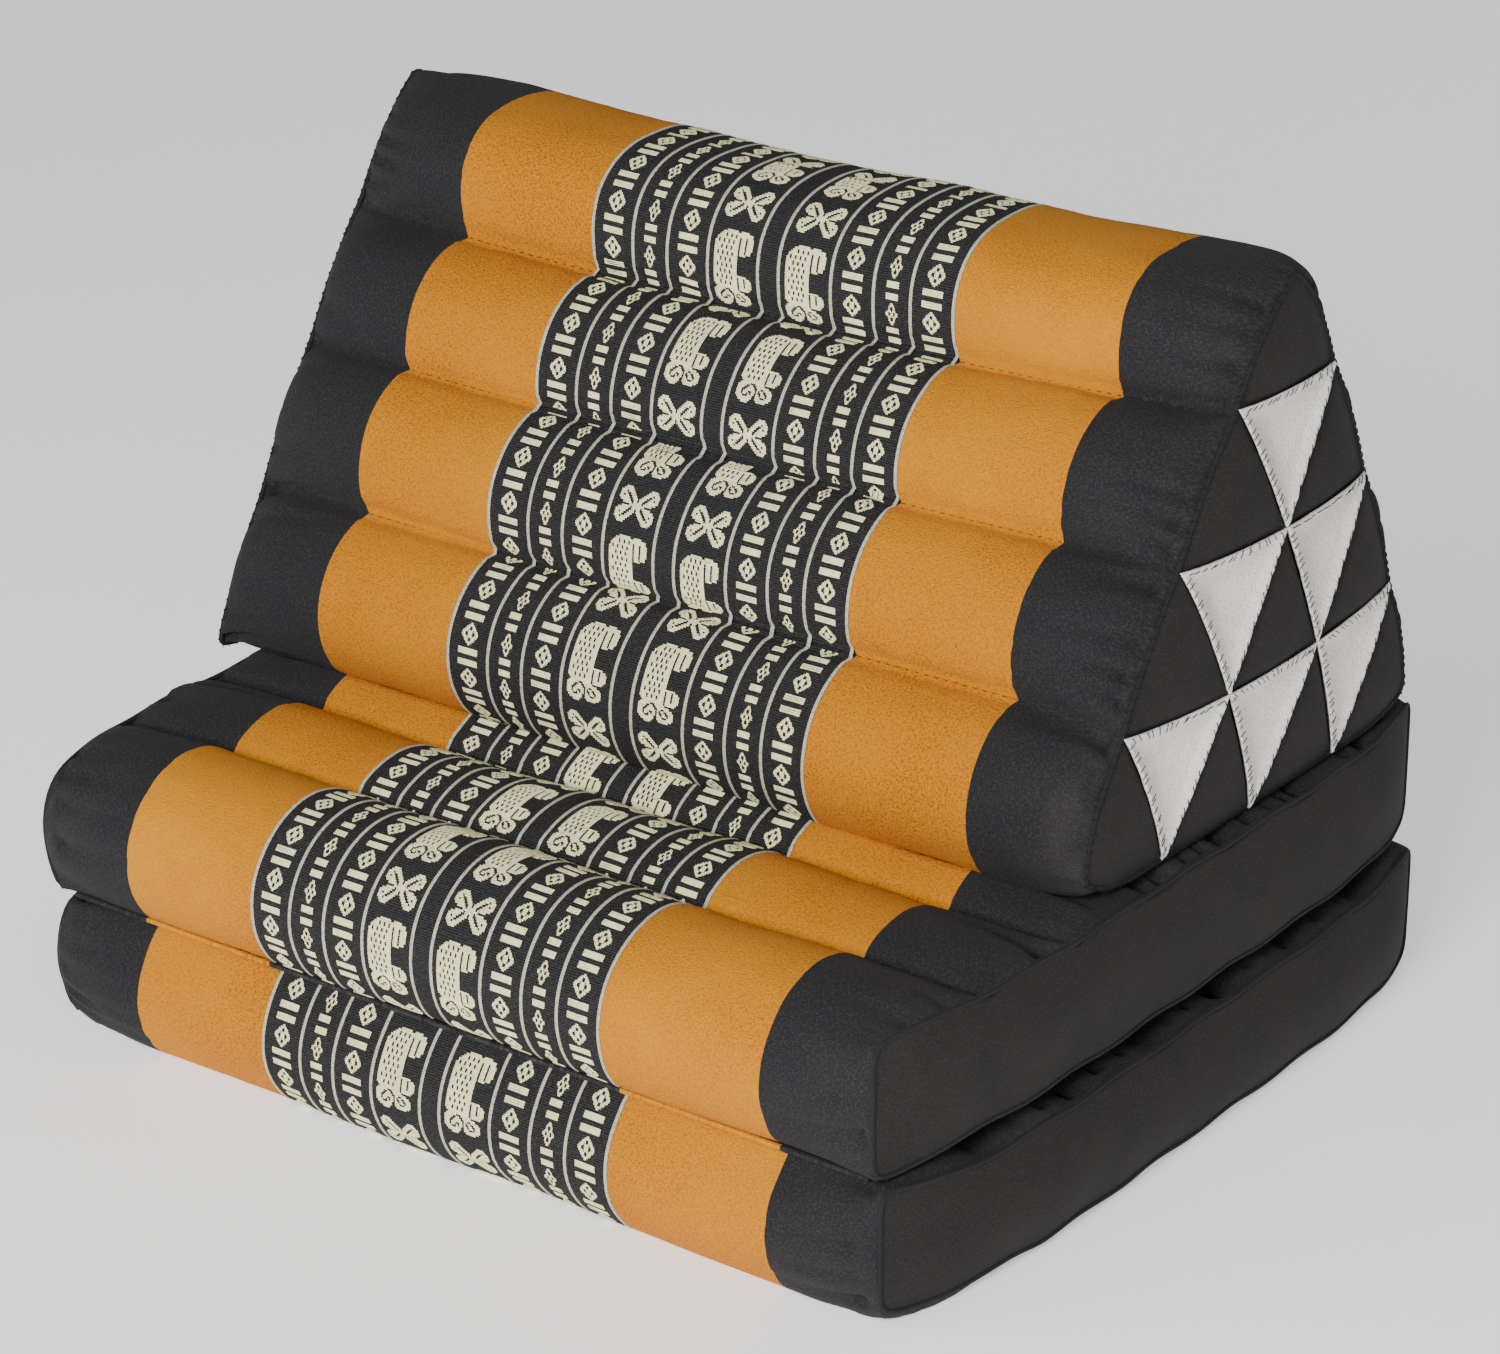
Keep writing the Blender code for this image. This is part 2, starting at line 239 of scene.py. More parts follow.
def add_tube(bm: bmesh.types.BMesh, path: list[Vector], radius: float, sides: int,
             side_axis: Vector) -> None:
    """Adds a round ridge of cloth along a loop.

    Args:
        bm: The bmesh that takes it.
        path: The points of its middle line.
        radius: Its radius.
        sides: How many sides it has.
        side_axis: A direction that is nowhere along the path.
    """
    steps = len(path)
    part = bmesh.new()
    bmesh.ops.create_grid(part, x_segments=steps, y_segments=sides, size=1.0)
    rings = []
    for i in range(steps + 1):
        here = path[i % steps]
        along = (path[(i + 1) % steps] - path[i - 1]).normalized()
        first = side_axis.cross(along).normalized()
        rings.append((here, first, along.cross(first)))
    for vert in part.verts:
        i = round((vert.co.x + 1) / 2 * steps)
        angle = math.pi * (vert.co.y + 1)
        here, first, second = rings[i]
        vert.co = here + (first * math.cos(angle) + second * math.sin(angle)) * radius
    bmesh.ops.remove_doubles(part, verts=part.verts, dist=SAME)
    bmesh.ops.recalc_face_normals(part, faces=part.faces)
    mesh = mesh_of("ridge", part)
    bm.from_mesh(mesh)
    bpy.data.meshes.remove(mesh)


@dataclass(frozen=True)
class Stitch:
    """One visible stitch: a short thread that arches over the cloth."""

    length: float
    radius: float
    arch: float
    sides: int = 5
    steps: int = 4

    def template(self) -> bpy.types.Mesh:
        """The stitch at the origin, along X, arching towards Z.

        Returns:
            The stitch's mesh.
        """
        bm = bmesh.new()
        bmesh.ops.create_cone(bm, cap_ends=True, segments=self.sides, radius1=self.radius,
                              radius2=self.radius, depth=self.length)
        bmesh.ops.subdivide_edges(bm, edges=edges_along(bm, 2), cuts=self.steps - 1)
        for vert in bm.verts:
            x, y, along = vert.co
            share = 2 * along / self.length
            vert.co = Vector((along, x, y + self.arch * (1 - share * share)))
        return mesh_of("stitch", bm)

    def sew(self, frames: list[Matrix]) -> bmesh.types.BMesh:
        """Repeats the stitch.

        Args:
            frames: A matrix for each stitch.

        Returns:
            A bmesh of them all.
        """
        template = self.template()
        bm = bmesh.new()
        for frame in frames:
            copy = template.copy()
            copy.transform(frame)
            bm.from_mesh(copy)
            bpy.data.meshes.remove(copy)
        bpy.data.meshes.remove(template)
        return bm


def eased(path: list[Vector], rounds: int = 3) -> list[Vector]:
    """Rounds the corners of a loop of points.

    Args:
        path: The points.
        rounds: How many times each point moves towards its neighbours.

    Returns:
        The new points.
    """
    for _ in range(rounds):
        path = [(path[i - 1] + path[i] * 2 + path[(i + 1) % len(path)]) / 4
                for i in range(len(path))]
    return path


def frame_matrix(place: Vector, along: Vector, outward: Vector) -> Matrix:
    """A matrix that puts X along a thread and Z away from the cloth.

    Args:
        place: Where the middle goes.
        along: The thread's direction.
        outward: Away from the cloth.

    Returns:
        The matrix.
    """
    first = along.normalized()
    third = (outward - first * outward.dot(first)).normalized()
    second = third.cross(first)
    turn = Matrix((first, second, third)).transposed()
    return Matrix.Translation(place) @ turn.to_4x4()


class SectionLine:
    """The middle section of a body by its arc length, for cloth that lies along it."""

    SAMPLES_PER_CHANNEL = 48

    def __init__(self, outline: Callable[[float], Vector], first: float, last: float) -> None:
        """Measures the section.

        Args:
            outline: Gives the section's (y, z) at a place counted in channels.
            first: The place where the line starts.
            last: The place where it ends.
        """
        count = round(abs(last - first) * self.SAMPLES_PER_CHANNEL) + 1
        self.places = np.linspace(first, last, count)
        self.points = np.array([outline(place)[:] for place in self.places])
        steps = np.hypot(*np.diff(self.points, axis=0).T)
        self.arcs = np.concatenate(([0.0], np.cumsum(steps)))
        self.length = float(self.arcs[-1])

    def arc(self, place: float) -> float:
        """How far along the line a place is.

        Args:
            place: The place, counted in channels.

        Returns:
            The distance along the line.
        """
        if self.places[0] > self.places[-1]:
            return float(np.interp(-place, -self.places, self.arcs))
        return float(np.interp(place, self.places, self.arcs))

    def at(self, arcs: np.ndarray) -> tuple[np.ndarray, np.ndarray]:
        """The y and z of several distances along the line."""
        return (np.interp(arcs, self.arcs, self.points[:, 0]),
                np.interp(arcs, self.arcs, self.points[:, 1]))


@dataclass(frozen=True)
class Ruffles:
    """How stuffing and stitching disturb a cover, as heights over its smooth form."""

    lumps: tuple[tuple[float, float], ...] = ((10.0, 0.0017), (27.0, 0.0008), (70.0, 0.00022))
    pinch: float = 0.0030
    pinch_reach: float = 0.0036
    pucker: float = 0.0012
    pucker_reach: float = 0.013
    puckers_per_metre: float = 75.0
    gather: float = 0.0062
    gather_reach: float = 0.024
    gathers_per_metre: float = 46.0
    # Added to the wave of the gathers, so that they are wider than what lies between them
    gather_bias: float = 0.15
    # The strongest gather, as a share of the usual one
    gather_most: float = 1.2
    # A sewn line and a rim hold the cloth still this near to them
    seam_hold: float = 0.003
    rim_hold: float = 0.002

    def height(self, place: Vector, x: float, arc: float, seam_gap: float,
               rim_gap: float) -> float:
        """How far a point of the cover moves along its normal.

        Args:
            place: The point.
            x: Its place along the roll.
            arc: Its distance round the section.
            seam_gap: Its distance from the nearest sewn valley.
            rim_gap: Its distance from the end of the roll.

        Returns:
            The height in metres.
        """
        height = sum(noise.noise(place * scale) * size for scale, size in self.lumps)
        height -= self.pinch * math.exp(-((seam_gap / self.pinch_reach) ** 2))
        beside = math.exp(-((seam_gap / self.pucker_reach) ** 2))
        fold = noise.noise(Vector((x * self.puckers_per_metre, arc * 9.0, 3.7)))
        height += self.pucker * fold * beside * min(1.0, seam_gap / self.seam_hold)
        near_rim = math.exp(-max(0.0, rim_gap) / self.gather_reach)
        near_rim *= min(1.0, rim_gap / self.rim_hold)
        drift = noise.noise(Vector((arc * 21.0, x * 6.0, 9.1)))
        wave = math.sin(2 * math.pi * (arc * self.gathers_per_metre + drift))
        fold = wave + self.gather_bias
        uneven = 0.5 + 1.6 * noise.noise(Vector((arc * 17.0, x, 4.3)))
        strength = min(self.gather_most, max(0.0, uneven))
        height -= self.gather * near_rim * strength * max(0.0, fold) ** 2
        return height


def subdivided(piece: bpy.types.Object, levels: int) -> bpy.types.Object:
    """Rounds a piece with an applied Subdivision Surface.

    Args:
        piece: The piece.
        levels: How many times each face is divided.

    Returns:
        The piece with its new mesh.
    """
    modifier = piece.modifiers.new("round", "SUBSURF")
    modifier.levels = modifier.render_levels = levels
    modifier.uv_smooth = "NONE"
    graph = bpy.context.evaluated_depsgraph_get()
    mesh = bpy.data.meshes.new_from_object(piece.evaluated_get(graph))
    old = piece.data
    piece.modifiers.clear()
    piece.data = mesh
    bpy.data.meshes.remove(old)
    mesh.name = piece.name
    return piece


@dataclass
class StuffedBody:
    """What the backrest and the mats share: stuffed rolls, colours across them and seams."""

    name: str
    band_edge: float = 0.1105
    # How far the woven band lies from the middle of the body
    band_shift: float = -0.0040
    orange_edge: float = 0.1990
    band_steps: int = 18
    orange_steps: int = 14
    end_steps: int = 12
    ruffles: Ruffles = field(default_factory=Ruffles)
    # Lumps of a flat end, as a share of the largest ones of the rolls, and how many to a metre
    end_lumps: float = 0.35
    end_lump_scale: float = 24.0
    dust_scale: float = 14.0
    # Dust lies this far from the seams at the ends, and thickly on the end panels
    dust_reach: float = 0.03
    end_dust: float = 0.6
    fill: float = 0.9

    @property
    def half_steps(self) -> int:
        """How many faces wide half the body is."""
        return self.band_steps + self.orange_steps + self.end_steps

    def station(self, share: float, end: float) -> float:
        """Where a line of points across the colours lies.

        Args:
            share: From -1 at the left end through 0 in the middle to 1 at the right end.
            end: How far the end is from the middle.

        Returns:
            The distance from the middle.
        """
        step = abs(share) * self.half_steps
        band = self.band_edge + math.copysign(self.band_shift, share * self.band_shift)
        if step <= self.band_steps:
            return band * step / self.band_steps
        step -= self.band_steps
        if step <= self.orange_steps:
            return band + (self.orange_edge - band) * step / self.orange_steps
        turn = (step - self.orange_steps) / self.end_steps * math.pi / 2
        return self.orange_edge + (end - self.orange_edge) * math.sin(turn)

    def panel_at(self, x: float) -> Panel:
        """The panel of a roll at a distance from the middle.

        Args:
            x: The distance, positive to the right.

        Returns:
            The panel.
        """
        if abs(x - self.band_shift) < self.band_edge:
            return Panel.BAND
        return Panel.ORANGE if abs(x) < self.orange_edge else Panel.BLACK

    def disturb(self, piece: bpy.types.Object, valleys: list[int]) -> None:
        """Moves the points of a cover by its ruffles, and keeps them off what presses it.

        Args:
            piece: The cover, whose UV map holds x and arc length.
            valleys: The places of its sewn valleys.
        """
        mesh = piece.data
        uv = mesh.uv_layers[0].data
        spots: dict[int, tuple[float, float]] = {}
        panel_verts: set[int] = set()
        for face in mesh.polygons:
            for loop, vert in zip(face.loop_indices, face.vertices):
                if face.material_index == Panel.END.value:
                    panel_verts.add(vert)
                else:
                    spots[vert] = tuple(uv[loop].uv)
        arcs = np.array([self.line.arc(valley) for valley in valleys])
        dust = mesh.attributes.new("dust", "FLOAT", "POINT")
        normals = [v.normal.copy() for v in mesh.vertices]
        for index, vert in enumerate(mesh.vertices):
            place = vert.co - CENTRING
            if index in spots:
                x, arc = spots[index]
                seam_gap = float(np.min(np.abs(arcs - arc)))
                rim_gap = self.rim_gap(place, x)
            else:
                x, arc, seam_gap, rim_gap = 0.0, 0.0, 1.0, 1.0
            if index in spots and index in panel_verts:
                height = 0.0
            elif index in spots:
                height = self.ruffles.height(place, x, arc, seam_gap, rim_gap)
            else:
                lump = noise.noise(place * self.end_lump_scale)
                height = self.end_lumps * lump * self.ruffles.lumps[0][1]
            vert.co += normals[index] * height
            vert.co.z = self.pressed(vert.co.y - CENTRING.y, vert.co.z)
            dust.data[index].value = self.dustiness(place, seam_gap, rim_gap, index in spots)

    def finish_cover(self, bm: bmesh.types.BMesh, finishes: list[bpy.types.Material],
                     valleys: list[int]) -> bpy.types.Object:
        """Rounds, ruffles and hands over a cover.

        Args:
            bm: The stuffed form with its panels.
            finishes: The materials of its panels.
            valleys: The places of its sewn valleys.

        Returns:
            The cover.
        """
        piece = subdivided(add_piece(f"{self.name}_cover", bm, finishes), 1)
        self.disturb(piece, valleys)
        return hand_over(piece, Cloth.BLACK, self.name)

    def rim_gap(self, place: Vector, x: float) -> float:
        """How far a point is from the end of its roll."""
        raise NotImplementedError

    def pressed(self, y: float, z: float) -> float:
        """The height of a point after floor and neighbours have pressed it."""
        raise NotImplementedError

    def dustiness(self, place: Vector, seam_gap: float, rim_gap: float, on_roll: bool) -> float:
        """How much lint and dust a point of the black cloth holds, from 0 to 1.

        Args:
            place: The point.
            seam_gap: Its distance from the nearest sewn valley. Not used.
            rim_gap: Its distance from the end of the roll.
            on_roll: Whether it is on a roll and not on an end panel.

        Returns:
            The share of dust.
        """
        patchy = 0.5 + 0.5 * noise.noise(place * self.dust_scale)
        edge = math.exp(-rim_gap / self.dust_reach) if on_roll else self.end_dust
        return min(1.0, patchy * edge)


@dataclass
class Backrest(StuffedBody):
    """The triangular prism: rolls from end to end, and two ends of patchwork."""

    name: str = "backrest"
    end_x: dict[int, float] = field(default_factory=lambda: {1: 0.257, -1: 0.270})
    rest_z: float = 0.150
    round_from_x: float = 0.190
    end_power: float = 3.4
    ridge_z: float = 0.420
    ridge_sag: float = 0.008
    channels: int = 12
    channel_steps: int = 12
    cells: int = 4
    # Sewn valleys round the middle section, counted in channels from the apex down the front
    valleys: dict[int, tuple[float, float]] = field(default_factory=lambda: {
        1: (0.0295, 0.3595), 2: (-0.0180, 0.3010), 3: (-0.0536, 0.2333),
        5: (-0.0120, 0.1545), 6: (0.0650, 0.1550), 7: (0.1420, 0.1545),
        9: (0.1950, 0.2290), 10: (0.1630, 0.2950), 11: (0.1290, 0.3600),
    })
    # First valley, last valley, height of the roll between them, fullness
    rolls: tuple[tuple[int, int, float, float], ...] = (
        (1, 2, 0.0188, 0.0), (2, 3, 0.0190, 0.0), (3, 5, 0.0620, 0.0),
        (5, 6, 0.0120, 0.0), (6, 7, 0.0120, 0.0), (7, 9, 0.0610, 0.0),
        (9, 10, 0.0180, 0.0), (10, 11, 0.0180, 0.0), (11, 13, 0.0610, 0.0060),
    )
    # Corners of each end (apex, front, back) as (y, z), and how far each is rounded off
    ends: dict[int, tuple] = field(default_factory=lambda: {
        1: (((0.088, 0.427), (-0.092, 0.158), (0.219, 0.157)), (0.010, 0.014, 0.008)),
        -1: (((0.078, 0.433), (-0.092, 0.155), (0.215, 0.157)), (0.008, 0.000, 0.008)),
    })
    end_bow: float = 0.007
    end_ripple: float = 0.002
    end_crown: float = 0.008
    cell_puff: float = 0.0035
    dish_depth: float = 0.0098
    dish_low_point: tuple[float, float, float] = (0.46, 0.28, 0.26)
    # Above 1, the walls of a pocket are steeper than its bottom
    dish_power: float = 1.15
    # The black cloth under a white patch lies this much lower than the patch
    under_patch: float = 0.0024
    # The cloth of a patch, and the fold of it that stands up along its sewn edges
    cloth: float = 0.0010
    rim_height: float = 0.0028
    rim_width: float = 0.0038
    patch_steps: int = 26
    # Points of a patch crowd towards its edges by this power
    patch_crowding: float = 1.5
    # A side of a patch lies this far from the corner opposite
    cell_height: float = 0.066
    # The black cloth under a patch steps down over this share of the patch
    under_patch_reach: float = 0.03
    # Below 1, the stuffing rises fast from the seams and is flat in the middle
    puff_power: float = 0.7
    # A corner of the end is rounded off over this share of the end
    corner_reach: float = 0.2
    # How unevenly a patch is drawn in, how far its fold varies, and how slack its cloth is
    dish_unevenness: float = 0.15
    rim_unevenness: float = 0.35
    slack: float = 0.0008
    slack_from_edge: float = 0.006
    # The round of the fold along a patch starts this far up
    rim_start: float = 0.18
    # Whipping round the white patches: its pitch, the length of an edge, and how near the
    # corners and the edge it lies, as shares of the patch
    whip_pitch: float = 0.0048
    whip_edge: float = 0.075
    whip_corner_gap: float = 0.03
    whip_edge_gap: float = 0.022
    # The way into the patch is felt this far ahead
    whip_feel: float = 0.03
    whip_slant: float = 0.35
    # The middle of the seam round an end stays this far above what the backrest rests on
    seam_lift: float = 0.0014
    seam_wander: float = 0.0007

    def __post_init__(self) -> None:
        """Measures the section."""
        self.line = SectionLine(self.section, 0, self.channels)

    def section(self, place: float) -> Vector:
        """The middle section as (y, z) at a place counted in channels.

        Args:
            place: The place, from the apex down the front.

        Returns:
            The point.
        """
        place %= self.channels
        if place < 1:
            place += self.channels
        for first, last, height, fullness in self.rolls:
            if first <= place <= last:
                share = (place - first) / (last - first)
                valley = self.valleys[(last - 1) % self.channels + 1]
                return roll_point(self.valleys[first], valley, height, share, fullness)
        raise ValueError(f"no roll at {place}")

    def sag(self, x: float, z: float, side: int) -> float:
        """How far the ridge's sag lowers a point."""
        depth = 0.5 - (x / self.end_x[side]) ** 2
        return self.ridge_sag * depth * (z - self.rest_z) / (self.ridge_z - self.rest_z)

    def end_point(self, side: int, shares: tuple[float, float, float]) -> Vector:
        """A point of a flat end.

        Args:
            side: 1 for the right end, -1 for the left one.
            shares: The shares of its apex, front and back corners.

        Returns:
            The point as (y, z).
        """
        corners, roundings = self.ends[side]
        corners = [Vector(corner) for corner in corners]
        middle = sum(corners, Vector((0, 0))) / 3
        point = sum((corner * share for corner, share in zip(corners, shares)), Vector((0, 0)))
        for first in range(3):
            second = (first + 1) % 3
            outward = ((corners[first] + corners[second]) / 2 - middle).normalized()
            on_rim = shares[first] + shares[second] > 0.999
            ripple = abs(math.sin(math.pi * self.cells * shares[second])) if on_rim else 0.0
            bow = self.end_bow * 4 * shares[first] * shares[second]
            point += outward * (bow + self.end_ripple * ripple)
        for share, corner, rounding in zip(shares, corners, roundings):
            near = max(0.0, (share - (1 - self.corner_reach)) / self.corner_reach)
            point += (middle - corner).normalized() * rounding * near * near
        return point

    def cell_shares(self, shares: tuple[float, float, float]) -> tuple[bool, tuple]:
        """The patchwork cell that a point of the end lies in.

        Args:
            shares: The shares of the end's corners.

        Returns:
            Whether the cell is a white patch, and the point's shares of the cell's corners.
        """
        apex, _, back = shares
        down, across = (1 - apex) * self.cells, back * self.cells
        row = min(int(down + 1e-6), self.cells - 1)
        column = int(across + 1e-6)
        fall, along = down - row, across - column
        if column > row:
            along = 1.0
        if along <= fall + 1e-6:
            return False, (1 - fall, fall - along, along)
        return True, (1 - along, along - fall, fall)

    def dish(self, shares: tuple[float, float, float]) -> float:
        """How deep a white patch is drawn in at a point."""
        near = min(1.0, max(0.0, min(s / low for s, low in zip(shares, self.dish_low_point))))
        return self.dish_depth * (1 - (1 - near) ** self.dish_power)

    def puff(self, shares: tuple[float, float, float]) -> float:
        """How far stuffing pushes out a triangle, as a share of its middle."""
        most = (1 / 3) ** 3
        return min(1.0, max(0.0, shares[0] * shares[1] * shares[2] / most)) ** self.puff_power

    def crown(self, shares: tuple[float, float, float]) -> float:
        """How far the stuffing pushes out the whole end."""
        return self.end_crown * self.puff(tuple(abs(s) for s in shares))

    def end_lift(self, shares: tuple[float, float, float]) -> float:
        """How far the black cloth of an end stands out from its plane.

        Args:
            shares: The shares of the end's apex, front and back corners.

        Returns:
            The distance from the plane of the end.
        """
        points_down, local = self.cell_shares(shares)
        if points_down:
            near_edge = min(1.0, min(local) / self.under_patch_reach)
            return self.crown(shares) - self.dish(local) - self.under_patch * near_edge
        return self.crown(shares) + self.cell_puff * self.puff(local)

    def rim_shares(self, place: float) -> tuple[float, float, float]:
        """The shares of a place on the rim of an end.

        Args:
            place: The place, counted in channels from the apex.

        Returns:
            The shares of the apex, front and back corners.
        """
        side, share = divmod(place % self.channels, self.cells)
        share /= self.cells
        return ((1 - share, share, 0), (0, 1 - share, share), (share, 0, 1 - share))[int(side)]

    def place_of(self, shares: tuple[float, float, float]) -> float:
        """How many channels from the apex a point on the prism's side is.

        Args:
            shares: The shares of the end's apex, front and back corners.

        Returns:
            The place, counted in channels.
        """
        apex, front, back = shares
        if back < 1e-4:
            return self.cells * front / (apex + front)
        if apex < 1e-4:
            return self.cells + self.cells * back / (front + back)
        return 2 * self.cells + self.cells * apex / (back + apex)

    def point(self, shares: tuple[float, float, float], across: float) -> Vector:
        """Where a point of the plain prism lies on the stuffed backrest.

        Args:
            shares: The shares of the prism's three edges.
            across: From -1 at the left end to 1 at the right one.

        Returns:
            The point.
        """
        side = 1 if across > 0 else -1
        end = self.end_x[side]
        if at_end(across) and min(shares) > 1e-4:
            spot = self.end_point(side, shares)
            return Vector((side * (end + self.end_lift(shares)), spot.x, spot.y))
        x = self.station(across, end)
        middle = self.section(self.place_of(shares))
        middle.y -= self.sag(x, middle.y, side)
        rim = self.end_point(side, self.rim_shares(self.place_of(shares)))
        turn = smooth_share((x - self.round_from_x) / (end - self.round_from_x), self.end_power)
        spot = middle.lerp(rim, turn)
        return Vector((side * x, spot.x, spot.y))

    def rim_gap(self, place: Vector, x: float) -> float:
        """How far a point is from the end of its roll."""
        return self.end_x[1 if x > 0 else -1] - abs(x)

    def pressed(self, y: float, z: float) -> float:
        """The backrest rests on the upper mat."""
        return max(z, self.rest_z + GAP + PRESS_CLEARANCE)

    def make_cover(self, finishes: list[bpy.types.Material]) -> bpy.types.Object:
        """The cover with its stuffing: a prism divided into rolls, colours and cells.

        Args:
            finishes: The materials of its panels.

        Returns:
            The cover.
        """
        bm = bmesh.new()
        bmesh.ops.create_cone(
            bm, cap_ends=True, segments=3, radius1=1.0, radius2=1.0, depth=2.0
        )
        bm.verts.ensure_lookup_table()
        corner = bm.verts[0].co.xy
        turn = math.pi / 2 - math.atan2(corner.y, corner.x)
        bmesh.ops.rotate(bm, verts=bm.verts, cent=Vector(), matrix=Matrix.Rotation(turn, 3, "Z"))
        bmesh.ops.subdivide_edges(
            bm, edges=edges_along(bm, 2), cuts=2 * self.half_steps - 1, use_grid_fill=True
        )
        around = [e for e in bm.edges if abs(e.verts[0].co.z - e.verts[1].co.z) < SAME]
        bmesh.ops.subdivide_edges(
            bm, edges=around, cuts=self.cells * self.channel_steps - 1, use_grid_fill=True
        )
        corners = [Vector((math.cos(a), math.sin(a)))
                   for a in (math.pi / 2 + 2 * math.pi * i / 3 for i in range(3))]
        shares = {v: corner_shares(v.co.xy, corners) for v in bm.verts}
        across = {v: v.co.z for v in bm.verts}
        for vert in bm.verts:
            vert.co = self.point(shares[vert], across[vert]) + CENTRING
        self.mark(bm, shares, across)
        return self.finish_cover(bm, finishes, list(self.valleys))

    def mark(self, bm: bmesh.types.BMesh, shares: dict, across: dict) -> None:
        """Gives each face its panel and its UV, and keeps the sewn valleys sharp.

        Args:
            bm: The cover.
            shares: The shares of the prism's edges at each point.
            across: The place of each point along the rolls.
        """
        uv = bm.loops.layers.uv.new("cloth")
        crease = bm.edges.layers.float.new("crease_edge")
        places = {v: self.place_of(s) for v, s in shares.items() if min(s) < 1e-4}
        for face in bm.faces:
            if at_end(*(across[v] for v in face.verts)):
                face.material_index = Panel.END.value
                for loop in face.loops:
                    loop[uv].uv = loop.vert.co.yz
                continue
            x = sum(math.copysign(self.station(across[v], self.end_x[1]), across[v])
                    for v in face.verts) / 4
            face.material_index = self.panel_at(x).value
            last = max(places[v] for v in face.verts)
            for loop in face.loops:
                place = places[loop.vert]
                if last - place > self.channels / 2:
                    place += self.channels
                loop[uv].uv = (loop.vert.co.x - CENTRING.x, self.line.arc(place))
        for edge in bm.edges:
            first, second = edge.verts
            if first in places and second in places:
                place = places[first]
                along = abs(place - places[second]) < 1e-3
                if along and round(place, 3) in self.valleys:
                    edge[crease] = 1.0
                panels = {face.material_index for face in edge.link_faces}
                if len(panels) > 1 and at_end(across[first], across[second]):
                    edge[crease] = 0.8

    def patch_corners(self, row: int, column: int) -> list[Vector]:
        """The corners of a white patch as shares of the end's corners.

        Args:
            row: Its row from the apex.
            column: Its place in the row from the front.

        Returns:
            Three corners.
        """
        def node(row: int, column: int) -> Vector:
            """A corner of the patchwork grid."""
            back, apex = column / self.cells, 1 - row / self.cells
            return Vector((apex, 1 - apex - back, back))
        return [node(row, column), node(row, column + 1), node(row + 1, column + 1)]

    def patch_lift(self, shares: Vector, local: tuple, seed: float) -> float:
        """How far a white patch stands out from the plane of its end.

        Args:
            shares: The shares of the end's corners.
            local: The shares of the patch's corners.
            seed: Tells one patch from another.

        Returns:
            The distance from the plane of the end.
        """
        edge_gap = min(local) * self.cell_height
        along = Vector(local) * 9.0 + Vector((seed, 0.0, 0.0))
        unevenness = 1.0 + self.rim_unevenness * noise.noise(along * 3.0)
        depth = self.dish(local) * (1.0 + self.dish_unevenness * noise.noise(along))
        away = min(1.0, edge_gap / self.slack_from_edge)
        slack = self.slack * noise.noise(along * 1.3) * away
        rim_share = min(1.0, edge_gap / self.rim_width)
        turn = self.rim_start + (1 - self.rim_start) * rim_share
        rim = self.rim_height * unevenness * math.sin(math.pi * turn)
        return self.crown(shares) - depth + slack + rim

    def patch_point(self, side: int, corners: list[Vector], local: tuple, seed: float) -> Vector:
        """A point of a white patch.

        Args:
            side: 1 for the right end, -1 for the left one.
            corners: The corners of the patch.
            local: The shares of the patch's corners.
            seed: Tells one patch from another.

        Returns:
            The point.
        """
        shares = sum((corner * s for corner, s in zip(corners, local)), Vector((0, 0, 0)))
        spot = self.end_point(side, tuple(max(0.0, s) for s in shares))
        x = self.end_x[side] + self.patch_lift(shares, local, seed)
        z = max(spot.y, self.rest_z + GAP + PRESS_CLEARANCE)
        return Vector((side * x, spot.x, z)) + CENTRING

    def make_patch(self, side: int, row: int, column: int, number: int,
                   finish: bpy.types.Material) -> bpy.types.Object:
        """One white patch: cloth that lines the pocket between the rows of black cells.

        Args:
            side: 1 for the right end, -1 for the left one.
            row: Its row from the apex.
            column: Its place in the row from the front.
            number: Its number on that end.
            finish: Its material.

        Returns:
            The patch.
        """
        corners = self.patch_corners(row, column)
        bm = bmesh.new()
        bmesh.ops.create_circle(bm, cap_ends=True, segments=3, radius=1.0)
        plain = [v.co.xy.copy() for v in bm.verts]
        bmesh.ops.subdivide_edges(
            bm, edges=bm.edges[:], cuts=self.patch_steps - 1, use_grid_fill=True
        )
        uv = bm.loops.layers.uv.new("cloth")
        for vert in bm.verts:
            local = [max(0.0, s) ** self.patch_crowding
                     for s in corner_shares(vert.co.xy, plain)]
            local = tuple(s / sum(local) for s in local)
            vert.co = self.patch_point(side, corners, local, 7.0 * number + side)
        for face in bm.faces:
            for loop in face.loops:
                loop[uv].uv = loop.vert.co.yz
        made = bmesh.ops.extrude_face_region(bm, geom=bm.faces[:])["geom"]
        lifted = [g for g in made if isinstance(g, bmesh.types.BMVert)]
        bmesh.ops.translate(bm, verts=lifted, vec=Vector((-side * self.cloth, 0, 0)))
        name = f"patch_{HANDS[side]}_{number}"
        return hand_over(add_piece(f"white_{name}", bm, [finish]), Cloth.WHITE, name)

    def patch_cells(self) -> list[tuple[int, int]]:
        """The rows and columns of an end's white patches, in the order of their numbers."""
        return [(row, column) for row in range(1, self.cells) for column in range(row)]

